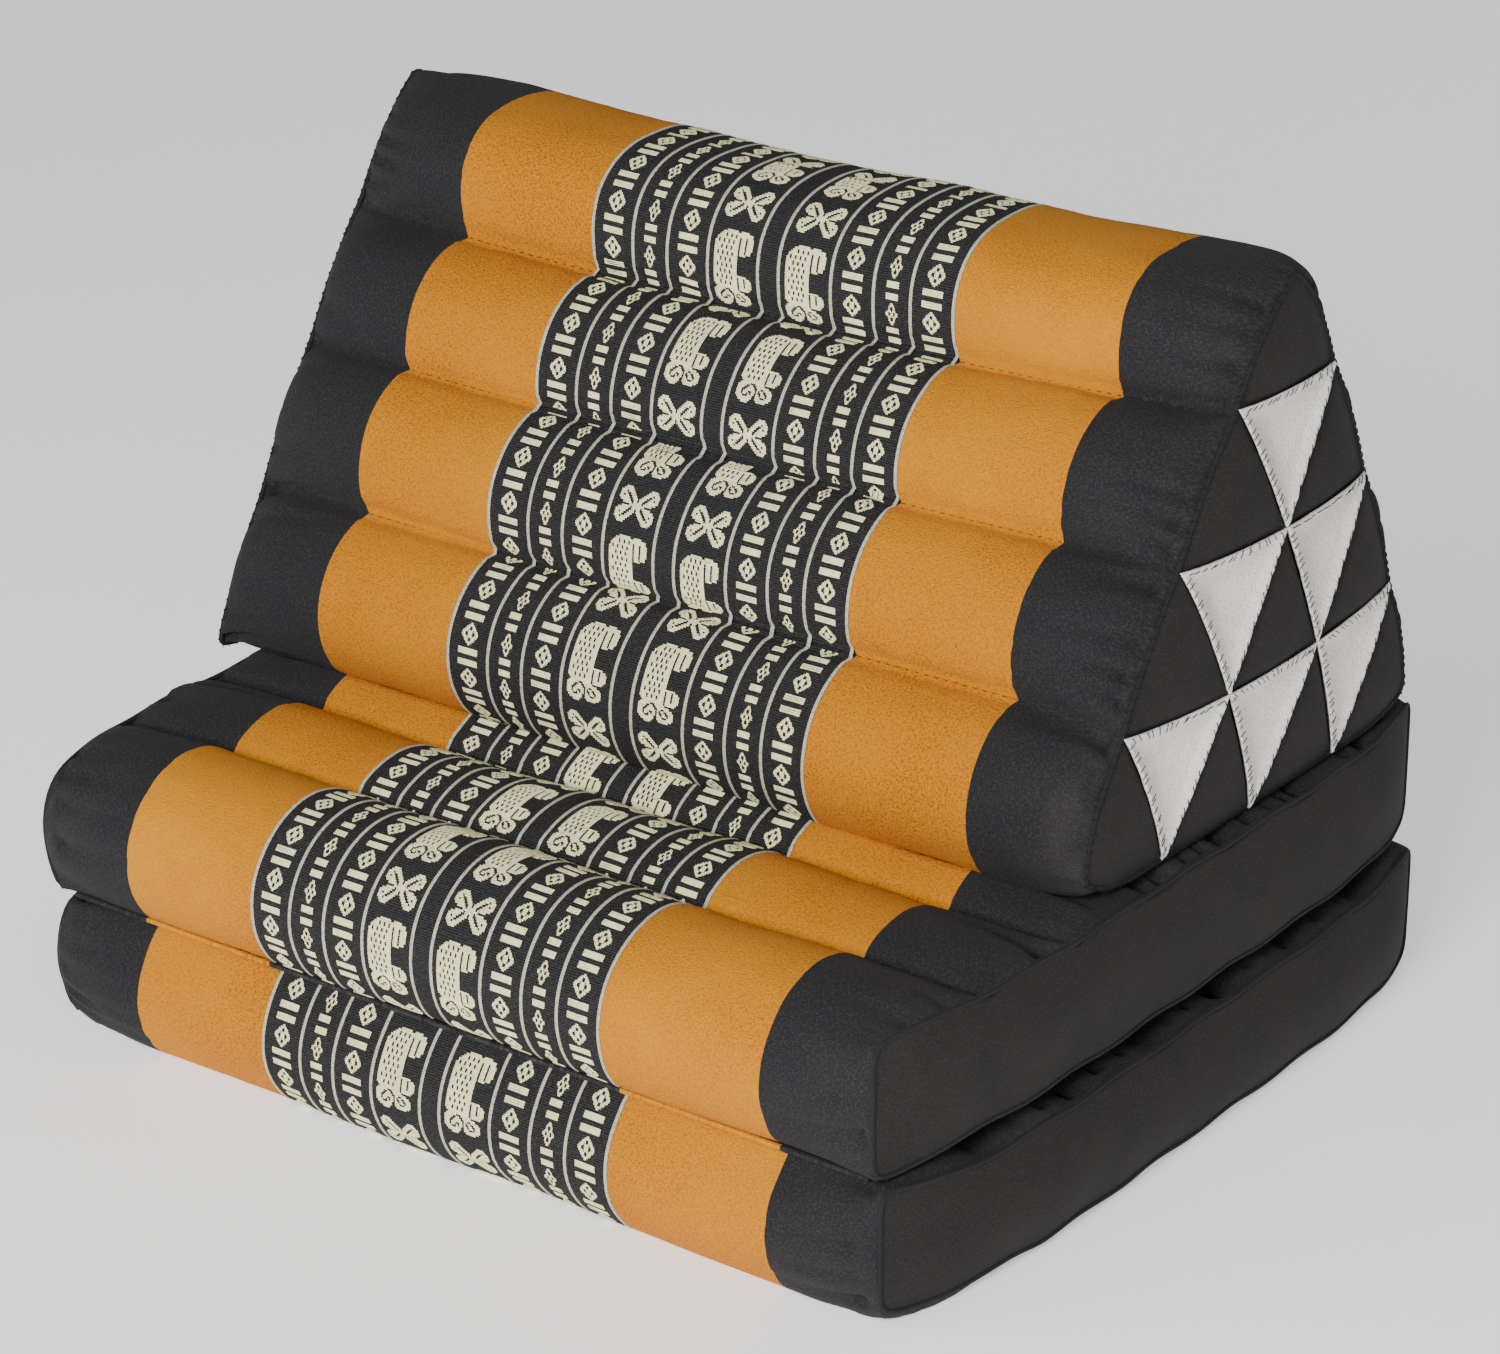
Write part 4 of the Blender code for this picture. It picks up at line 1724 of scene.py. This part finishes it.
class ClothGroups:
    """Shader node groups for what all the cloths share."""

    @staticmethod
    def start(name: str, inputs: dict[str, str],
              outputs: dict[str, str]) -> tuple[bpy.types.NodeTree, bpy.types.Node]:
        """A new group with its sockets.

        Args:
            name: The group's name.
            inputs: The types of its inputs, by name.
            outputs: The types of its outputs, by name.

        Returns:
            The group and its input node.
        """
        group = bpy.data.node_groups.new(name, "ShaderNodeTree")
        for label, kind in inputs.items():
            group.interface.new_socket(label, in_out="INPUT", socket_type=kind)
        for label, kind in outputs.items():
            group.interface.new_socket(label, in_out="OUTPUT", socket_type=kind)
        return group, group.nodes.new("NodeGroupInput")

    @classmethod
    def weave(cls) -> bpy.types.NodeTree:
        """Uneven threads both ways: their height, and a mask of stray lighter or darker ones.

        Returns:
            The group.
        """
        found = bpy.data.node_groups.get("uneven weave")
        if found:
            return found
        group, given = cls.start(
            "uneven weave",
            {"Vector": "NodeSocketVector", "Threads": "NodeSocketFloat"},
            {"Height": "NodeSocketFloat", "Stray threads": "NodeSocketFloat"},
        )
        scaled = node(group, "ShaderNodeVectorMath",
                      {0: given.outputs["Vector"], "Scale": given.outputs["Threads"]},
                      operation="SCALE")
        heights = []
        for stretch in ((1.0, 0.40, 1.0), (0.40, 1.0, 1.0)):
            longer = node(group, "ShaderNodeVectorMath", {0: scaled.outputs[0], 1: stretch},
                          operation="MULTIPLY")
            threads = node(group, "ShaderNodeTexNoise",
                           {"Vector": longer.outputs[0], "Scale": 1.0, "Detail": 1.0},
                           noise_dimensions="2D")
            heights.append(threads.outputs[0])
        both = node(group, "ShaderNodeMath", {0: heights[0], 1: heights[1]}, operation="ADD")
        stray = node(group, "ShaderNodeMapRange",
                     {"Value": both.outputs[0], "From Min": 0.95, "From Max": 1.25})
        out = group.nodes.new("NodeGroupOutput")
        group.links.new(both.outputs[0], out.inputs["Height"])
        group.links.new(stray.outputs[0], out.inputs["Stray threads"])
        return group

    @classmethod
    def patches(cls) -> bpy.types.NodeTree:
        """Soft uneven patches for fading and for dust, gathered where a mask says.

        Returns:
            The group.
        """
        found = bpy.data.node_groups.get("soft patches")
        if found:
            return found
        group, given = cls.start(
            "soft patches",
            {"Vector": "NodeSocketVector", "Scale": "NodeSocketFloat",
             "Mask": "NodeSocketFloat", "Amount": "NodeSocketFloat"},
            {"Share": "NodeSocketFloat"},
        )
        cloudy = node(group, "ShaderNodeTexNoise",
                      {"Vector": given.outputs["Vector"], "Scale": given.outputs["Scale"],
                       "Detail": 5.0, "Roughness": 0.6})
        kept = node(group, "ShaderNodeMapRange",
                    {"Value": cloudy.outputs[0], "From Min": 0.35, "From Max": 0.75})
        masked = node(group, "ShaderNodeMath",
                      {0: kept.outputs[0], 1: given.outputs["Mask"]}, operation="MULTIPLY")
        amount = node(group, "ShaderNodeMath",
                      {0: masked.outputs[0], 1: given.outputs["Amount"]}, operation="MULTIPLY")
        out = group.nodes.new("NodeGroupOutput")
        group.links.new(amount.outputs[0], out.inputs["Share"])
        return group


@dataclass(frozen=True)
class CottonFinish:
    """A cotton cloth or yarn as a shader."""

    name: str
    colour: tuple[float, float, float]
    stray: tuple[float, float, float]
    stray_share: float
    threads_per_metre: float
    relief: float
    roughness: float = 0.9
    sheen: float = 0.03
    sheen_roughness: float = 0.5
    specular: float = 0.12
    fading_scale: float = 7.0
    dust_scale: float = 38.0
    dust: tuple[float, float, float] = (0.10, 0.09, 0.075)
    dust_share: float = 0.0
    dust_everywhere: float = 0.0
    faded: tuple[float, float, float] | None = None
    ribs_per_metre: float = 0.0

    def material(self) -> bpy.types.Material:
        """Builds the material from the shared groups.

        Returns:
            The material.
        """
        made = bpy.data.materials.new(self.name)
        made.use_nodes = True
        tree = made.node_tree
        shader = tree.nodes["Principled BSDF"]
        place = node(tree, "ShaderNodeTexCoord")
        cloth = node(tree, "ShaderNodeUVMap", uv_map="cloth")
        weave = node(tree, "ShaderNodeGroup",
                     {"Vector": cloth.outputs[0], "Threads": self.threads_per_metre},
                     node_tree=ClothGroups.weave())
        share = node(tree, "ShaderNodeMath",
                     {0: weave.outputs["Stray threads"], 1: self.stray_share},
                     operation="MULTIPLY")
        colour = self.mixed(tree, share.outputs[0], (*self.colour, 1.0), self.stray)
        height = weave.outputs["Height"]
        if self.ribs_per_metre:
            colour, height = self.ribs_with_painted_highlight(tree, cloth.outputs[0], colour, height)
        if self.faded:
            fading = self.soft_patches(
                tree, place.outputs["Object"], self.fading_scale, 1.0, 1.0)
            colour = self.mixed(tree, fading, colour, self.faded)
        if self.dust_share:
            mask = node(tree, "ShaderNodeAttribute", attribute_name="dust")
            held = node(tree, "ShaderNodeMath",
                        {0: mask.outputs["Fac"], 1: self.dust_everywhere}, operation="MAXIMUM")
            dusty = self.soft_patches(
                tree, place.outputs["Object"], self.dust_scale, held.outputs[0],
                self.dust_share)
            colour = self.mixed(tree, dusty, colour, self.dust)
        tree.links.new(colour, shader.inputs["Base Color"])
        bump = node(tree, "ShaderNodeBump",
                    {"Height": height, "Strength": 1.0, "Distance": self.relief})
        tree.links.new(bump.outputs[0], shader.inputs["Normal"])
        for label, value in (
            ("Roughness", self.roughness), ("Sheen Weight", self.sheen),
            ("Sheen Roughness", self.sheen_roughness), ("Specular IOR Level", self.specular),
        ):
            shader.inputs[label].default_value = value
        return made

    @staticmethod
    def mixed(tree: bpy.types.NodeTree, share: bpy.types.NodeSocket, first: object,
              second: tuple[float, float, float]) -> bpy.types.NodeSocket:
        """Mixes two colours.

        Args:
            tree: The node tree.
            share: The share of the second colour.
            first: The first colour or its socket.
            second: The second colour.

        Returns:
            The mixed colour.
        """
        mix = node(tree, "ShaderNodeMix",
                   {"Factor": share, 6: first, 7: (*second, 1.0)}, data_type="RGBA")
        return mix.outputs[2]

    @staticmethod
    def soft_patches(tree: bpy.types.NodeTree, vector: bpy.types.NodeSocket, scale: float,
                     mask: object, amount: float) -> bpy.types.NodeSocket:
        """Places the group of soft patches.

        Args:
            tree: The node tree.
            vector: Where the patches lie.
            scale: How many there are in a metre.
            mask: Where they gather, as a value or a socket.
            amount: How strong they are.

        Returns:
            Their share at each point.
        """
        patches = node(tree, "ShaderNodeGroup",
                       {"Vector": vector, "Scale": scale, "Mask": mask, "Amount": amount},
                       node_tree=ClothGroups.patches())
        return patches.outputs["Share"]

    def ribs_with_painted_highlight(self, tree: bpy.types.NodeTree, cloth: bpy.types.NodeSocket,
               colour: bpy.types.NodeSocket,
               height: bpy.types.NodeSocket) -> tuple[bpy.types.NodeSocket, bpy.types.NodeSocket]:
        """Adds the ribs of weft across the band, with a painted highlight: the crest of each rib is
        painted lighter.

        Args:
            tree: The node tree.
            cloth: The cloth's own coordinates.
            colour: The colour so far.
            height: The height so far.

        Returns:
            The new colour and height.
        """
        axes = node(tree, "ShaderNodeSeparateXYZ", {0: cloth})
        turns = node(tree, "ShaderNodeMath",
                     {0: axes.outputs["Y"], 1: 2 * math.pi * self.ribs_per_metre},
                     operation="MULTIPLY")
        wave = node(tree, "ShaderNodeMath", {0: turns.outputs[0]}, operation="SINE")
        both = node(tree, "ShaderNodeMath", {0: wave.outputs[0], 1: height}, operation="ADD")
        # Painted highlight: the crest of each rib is mixed towards the lighter stray colour
        crest = node(tree, "ShaderNodeMapRange",
                     {"Value": wave.outputs[0], "From Min": 0.0, "From Max": 1.0, "To Max": 0.35})
        return self.mixed(tree, crest.outputs[0], colour, self.stray), both.outputs[0]


class Finishes:
    """The materials of the cushion."""

    def __init__(self) -> None:
        """Builds them."""
        self.black = CottonFinish(
            "black cotton", colour=(0.0165, 0.0158, 0.0175), stray=(0.060, 0.058, 0.062),
            stray_share=0.34, threads_per_metre=1300.0, relief=0.0004,
            dust_share=0.35, dust_everywhere=0.10,
        ).material()
        self.end_black = CottonFinish(
            "black cotton of the ends", colour=(0.0185, 0.0172, 0.0170),
            stray=(0.052, 0.049, 0.047), stray_share=0.30, threads_per_metre=1300.0,
            relief=0.0003, dust=(0.075, 0.067, 0.058), dust_share=0.30, dust_everywhere=0.35,
        ).material()
        self.orange = CottonFinish(
            "orange cotton", colour=(0.575, 0.205, 0.005), stray=(0.26, 0.072, 0.003),
            stray_share=0.80, threads_per_metre=1300.0, relief=0.0006,
            faded=(0.61, 0.245, 0.011),
        ).material()
        self.band = CottonFinish(
            "band ground", colour=(0.0130, 0.0122, 0.0138), stray=(0.085, 0.083, 0.080),
            stray_share=0.38, threads_per_metre=1300.0, relief=0.0004, ribs_per_metre=780.0,
        ).material()
        self.cream = CottonFinish(
            "cream yarn", colour=(0.93, 0.885, 0.52), stray=(0.56, 0.52, 0.28),
            stray_share=0.45, threads_per_metre=1200.0, relief=0.0004,
        ).material()
        self.line = CottonFinish(
            "cream line", colour=(0.50, 0.48, 0.38), stray=(0.24, 0.23, 0.18),
            stray_share=0.60, threads_per_metre=1200.0, relief=0.0003,
        ).material()
        self.white = CottonFinish(
            "white cotton", colour=(0.86, 0.835, 0.79), stray=(0.64, 0.61, 0.56),
            stray_share=0.40, threads_per_metre=900.0, relief=0.0005,
            faded=(0.78, 0.75, 0.69),
        ).material()
        self.thread = CottonFinish(
            "black thread", colour=(0.012, 0.012, 0.013), stray=(0.05, 0.05, 0.05),
            stray_share=0.4, threads_per_metre=2000.0, relief=0.0001,
        ).material()

    def cover(self) -> list[bpy.types.Material]:
        """The materials of a cover by panel."""
        return [self.black, self.orange, self.band, self.end_black]


@dataclass
class Seams:
    """The ridges of cloth where panels are sewn together, and the thread that shows."""

    ridge: float = 0.0013
    sides: int = 8
    rim_steps: int = 360
    # The whipping's pitch, its slant, and how far out it lies as a share of the ridge
    whip_pitch: float = 0.0052
    whip_slant: float = 0.5
    whip_rise: float = 0.8
    valley_pitch: float = 0.0055
    valley_reach: float = 0.236
    # How far a stitch in a valley sinks below the smooth rolls, and how far on either side of
    # it the cloth is felt for the way outwards
    valley_sink: float = 0.0030
    valley_feel: float = 0.004
    rim_stitch: Stitch = Stitch(length=0.0036, radius=0.00030, arch=0.0006)
    patch_stitch: Stitch = Stitch(length=0.0042, radius=0.00024, arch=0.0002)
    valley_stitch: Stitch = Stitch(length=0.0024, radius=0.00018, arch=0.0003)

    def make_ridge(self, name: str, path: list[Vector], finishes: Finishes) -> None:
        """The ridge of cloth along one seam.

        Args:
            name: The piece's name.
            path: The middle line of the seam, as a loop.
            finishes: The materials.
        """
        bm = bmesh.new()
        add_tube(bm, path, self.ridge, self.sides, Vector((1, 0, 0)))
        hand_over(add_piece(name, bm, [finishes.black]), Cloth.BLACK)

    def make_thread(self, name: str, stitch: Stitch, frames: list[Matrix],
                    finishes: Finishes) -> None:
        """A row of stitches as one piece.

        Args:
            name: The piece's name.
            stitch: The stitch.
            frames: A matrix for each stitch.
            finishes: The materials.
        """
        hand_over(add_piece(name, stitch.sew(frames), [finishes.thread]), Cloth.THREAD)

    def make_end_seams(self, back: Backrest, finishes: Finishes) -> None:
        """The rope-like seam round each end of the backrest, and its whipping.

        Args:
            back: The backrest.
            finishes: The materials.
        """
        for side, hand in HANDS.items():
            path = back.rim_path(side, self.rim_steps)
            self.make_ridge(f"end_seam_{hand}", path, finishes)
            self.make_thread(f"end_whipping_{hand}", self.rim_stitch,
                             self.whip_frames(path, side), finishes)
            self.make_thread(f"patch_whipping_{hand}", self.patch_stitch,
                             back.whip_frames(side), finishes)

    def make_panel_seams(self, mat: SeatMat, finishes: Finishes) -> None:
        """The seams round the side panels of a mat."""
        for side, hand in HANDS.items():
            self.make_ridge(f"{mat.name}_panel_seam_{hand}", mat.panel_path(side), finishes)

    def whip_frames(self, path: list[Vector], side: int) -> list[Matrix]:
        """Where thread winds round a seam.

        Args:
            path: The middle line of the seam.
            side: Which end it is on.

        Returns:
            A matrix for each stitch.
        """
        middle = sum(path, Vector()) / len(path)
        frames = []
        travelled = 0.0
        for here, ahead in zip(path, path[1:] + path[:1]):
            step = ahead - here
            travelled += step.length
            if travelled < self.whip_pitch:
                continue
            travelled -= self.whip_pitch
            outward = (here - middle).normalized()
            outward.x = side * 1.0
            along = step.normalized()
            across = along.cross(outward).normalized() + along * self.whip_slant
            place = here + outward.normalized() * self.ridge * self.whip_rise
            frames.append(frame_matrix(place, across, outward))
        return frames

    def make_valley_stitches(self, body: Backrest | SeatMat, places: list[int],
                             finishes: Finishes) -> None:
        """Running stitches along the sewn valleys of a body.

        Args:
            body: The body.
            places: Its valleys.
            finishes: The materials.
        """
        count = round(2 * self.valley_reach / self.valley_pitch)
        frames = []
        for valley in places:
            arc = body.line.arc(valley)
            x = np.linspace(-self.valley_reach, self.valley_reach, count)
            spots = body.band_points(x, np.full(count, arc))
            before = body.band_points(x, np.full(count, max(0.0, arc - self.valley_feel)))
            after = body.band_points(x, np.full(count, arc + self.valley_feel))
            for spot, left, right in zip(spots, before, after):
                outward = Vector((left + right) / 2 - spot)
                place = Vector(spot) - outward.normalized() * self.valley_sink
                frames.append(frame_matrix(place, Vector((1, 0, 0)), outward))
        self.make_thread(f"{body.name}_stitches", self.valley_stitch, frames, finishes)


@dataclass
class FoldSeams:
    """The sewn folds that join the two mats, and the upper mat and the backrest."""

    steps: int = 90
    # Shares of a strip's section: how far its edges are rounded, and how far it strays
    rounding: float = 0.2
    ripple: float = 0.1
    ripples_per_length: float = 40.0
    # Name, the y of its middle (None for the node's own), its depth and its thickness
    folds: tuple[tuple[str, float | None, float, float], ...] = (
        ("front_fold_seam", -0.2302, 0.0024, 0.0024),
        ("back_fold_seam", None, 0.0060, 0.0014),
    )

    def make(self, mat: SeatMat, finishes: Finishes) -> None:
        """Dresses both strips in the places of their nodes, in the colours of the cover.

        Args:
            mat: The mat whose colours the strips take up.
            finishes: The materials.
        """
        for name, depth_at, depth, thickness in self.folds:
            low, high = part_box(name)
            bm = bmesh.new()
            bmesh.ops.create_cube(bm, size=1.0)
            bmesh.ops.subdivide_edges(
                bm, edges=edges_along(bm, 0), cuts=self.steps - 1, use_grid_fill=True)
            middle, size = (low + high) / 2, high - low
            if depth_at is not None:
                middle.y = depth_at + CENTRING.y
            long_edges = [e for e in edges_along(bm, 0) if e.calc_face_angle(0.0) > 1.0]
            bmesh.ops.bevel(bm, geom=long_edges, offset=self.rounding, segments=2,
                            affect="EDGES", profile=0.5, material=-1)
            uv = bm.loops.layers.uv.new("cloth")
            for vert in bm.verts:
                place = Vector((vert.co.x * self.ripples_per_length, 0.0, 0.0))
                ripple = self.ripple * noise.noise(place)
                vert.co = Vector((
                    middle.x + vert.co.x * size.x,
                    middle.y + (vert.co.y + ripple) * depth,
                    middle.z + vert.co.z * thickness,
                ))
            for face in bm.faces:
                face.material_index = mat.panel_at(face.calc_center_median().x - CENTRING.x).value
                for loop in face.loops:
                    loop[uv].uv = loop.vert.co.xy
            piece = add_piece(f"{name}_cloth", bm, finishes.cover())
            hand_over(piece, Cloth.BLACK, name)


@dataclass
class Studio:
    """A pale floor, soft lights and a camera at the photo's angle."""

    camera_place: tuple[float, float, float] = (1.3537, -1.8020, 1.1440)
    # The camera's own axes
    back: tuple[float, float, float] = (0.5504, -0.7355, 0.3950)
    right: tuple[float, float, float] = (0.8006, 0.5991, 0.0)
    up: tuple[float, float, float] = (-0.2367, 0.3162, 0.9187)
    lens: float = 117.72
    sensor: float = 36.0
    floor_reach: float = 6.0
    floor_shade: float = 0.93
    # A little light of its own keeps the floor pale
    floor_glow: float = 0.55
    surround: float = 0.14
    aim: tuple[float, float, float] = (0.0, 0.0, 0.15)
    # Name, place, size and power of each soft light
    lights: tuple[tuple[str, tuple[float, float, float], float, float], ...] = (
        ("key", (0.8, -2.6, 1.5), 1.0, 94.0),
        ("left", (-1.5, -2.0, 1.5), 1.2, 20.0),
        ("right", (2.5, -1.0, 0.8), 0.8, 14.0),
        ("rim", (0.4, 2.2, 2.4), 1.8, 18.0),
    )

    def make_camera(self) -> None:
        """The camera that the photo was taken with."""
        data = bpy.data.cameras.new("camera")
        data.lens, data.sensor_width, data.sensor_fit = self.lens, self.sensor, "HORIZONTAL"
        data.dof.use_dof = False
        camera = bpy.data.objects.new("camera", data)
        turn = Matrix((self.right, self.up, self.back)).transposed().to_4x4()
        camera.matrix_world = Matrix.Translation(Vector(self.camera_place) + CENTRING) @ turn
        bpy.context.scene.collection.objects.link(camera)
        bpy.context.scene.camera = camera

    def make_floor(self) -> None:
        """A plain pale floor."""
        bm = bmesh.new()
        bmesh.ops.create_grid(bm, x_segments=1, y_segments=1, size=self.floor_reach)
        made = bpy.data.materials.new("pale floor")
        made.use_nodes = True
        shader = made.node_tree.nodes["Principled BSDF"]
        shade = self.floor_shade
        shader.inputs["Base Color"].default_value = (shade, shade, shade, 1.0)
        shader.inputs["Roughness"].default_value = 0.8
        shader.inputs["Emission Color"].default_value = (1.0, 1.0, 1.0, 1.0)
        shader.inputs["Emission Strength"].default_value = self.floor_glow
        add_piece("floor", bm, [made], turn_out=False)

    def make_lights(self) -> None:
        """Soft lights in front, at the left, at the right and behind, and an even surround."""
        for name, place, size, power in self.lights:
            data = bpy.data.lights.new(name, "AREA")
            data.size, data.energy = size, power
            light = bpy.data.objects.new(name, data)
            light.location = place
            away = Vector(self.aim) - Vector(place)
            light.rotation_euler = away.to_track_quat("-Z", "Y").to_euler()
            bpy.context.scene.collection.objects.link(light)
        world = bpy.data.worlds.new("studio")
        world.use_nodes = True
        sky = world.node_tree.nodes["Background"]
        sky.inputs["Color"].default_value = (1.0, 1.0, 1.0, 1.0)
        sky.inputs["Strength"].default_value = self.surround
        bpy.context.scene.world = world

    def make(self) -> None:
        """Builds the studio."""
        self.make_camera()
        self.make_floor()
        self.make_lights()


def main() -> None:
    """Builds the cushion round its frame."""
    logging.basicConfig(level=logging.INFO, format="%(name)s: %(message)s")
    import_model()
    Studio().make()
    finishes = Finishes()
    back = Backrest()
    upper = SeatMat()
    lower = SeatMat(
        name="lower_mat", up=-1, first_valley=(-0.153, 0.008), outer_valley_z=0.008,
        inner_valley_z=0.063, side_outer_z=0.004, side_inner_z=0.067,
        front_roll=(0.0545, 0.003), left_drop=0.0, slide=0.0050, band_shift=-0.0047,
    )
    seams = Seams()
    bands = (
        WovenBand(back, list(back.valleys), elephant_at=0.0555, take_up=0.0162),
        WovenBand(upper, list(range(1, upper.channels)), elephant_at=0.5265, take_up=0.0120),
        WovenBand(lower, list(range(1, lower.channels)), elephant_at=0.0060, take_up=0.0120),
    )
    for body, band in zip((back, upper, lower), bands):
        cover = body.make_cover(finishes.cover())
        band.make_figures(cover, finishes.cream)
        band.make_lines(cover, finishes.line)
    for side in HANDS:
        for number, (row, column) in enumerate(back.patch_cells(), 1):
            back.make_patch(side, row, column, number, finishes.white)
    seams.make_end_seams(back, finishes)
    seams.make_valley_stitches(back, list(back.valleys), finishes)
    for mat in (upper, lower):
        seams.make_panel_seams(mat, finishes)
        seams.make_valley_stitches(mat, list(range(1, mat.channels)), finishes)
    FoldSeams().make(upper, finishes)


if __name__ == "__main__":
    main()
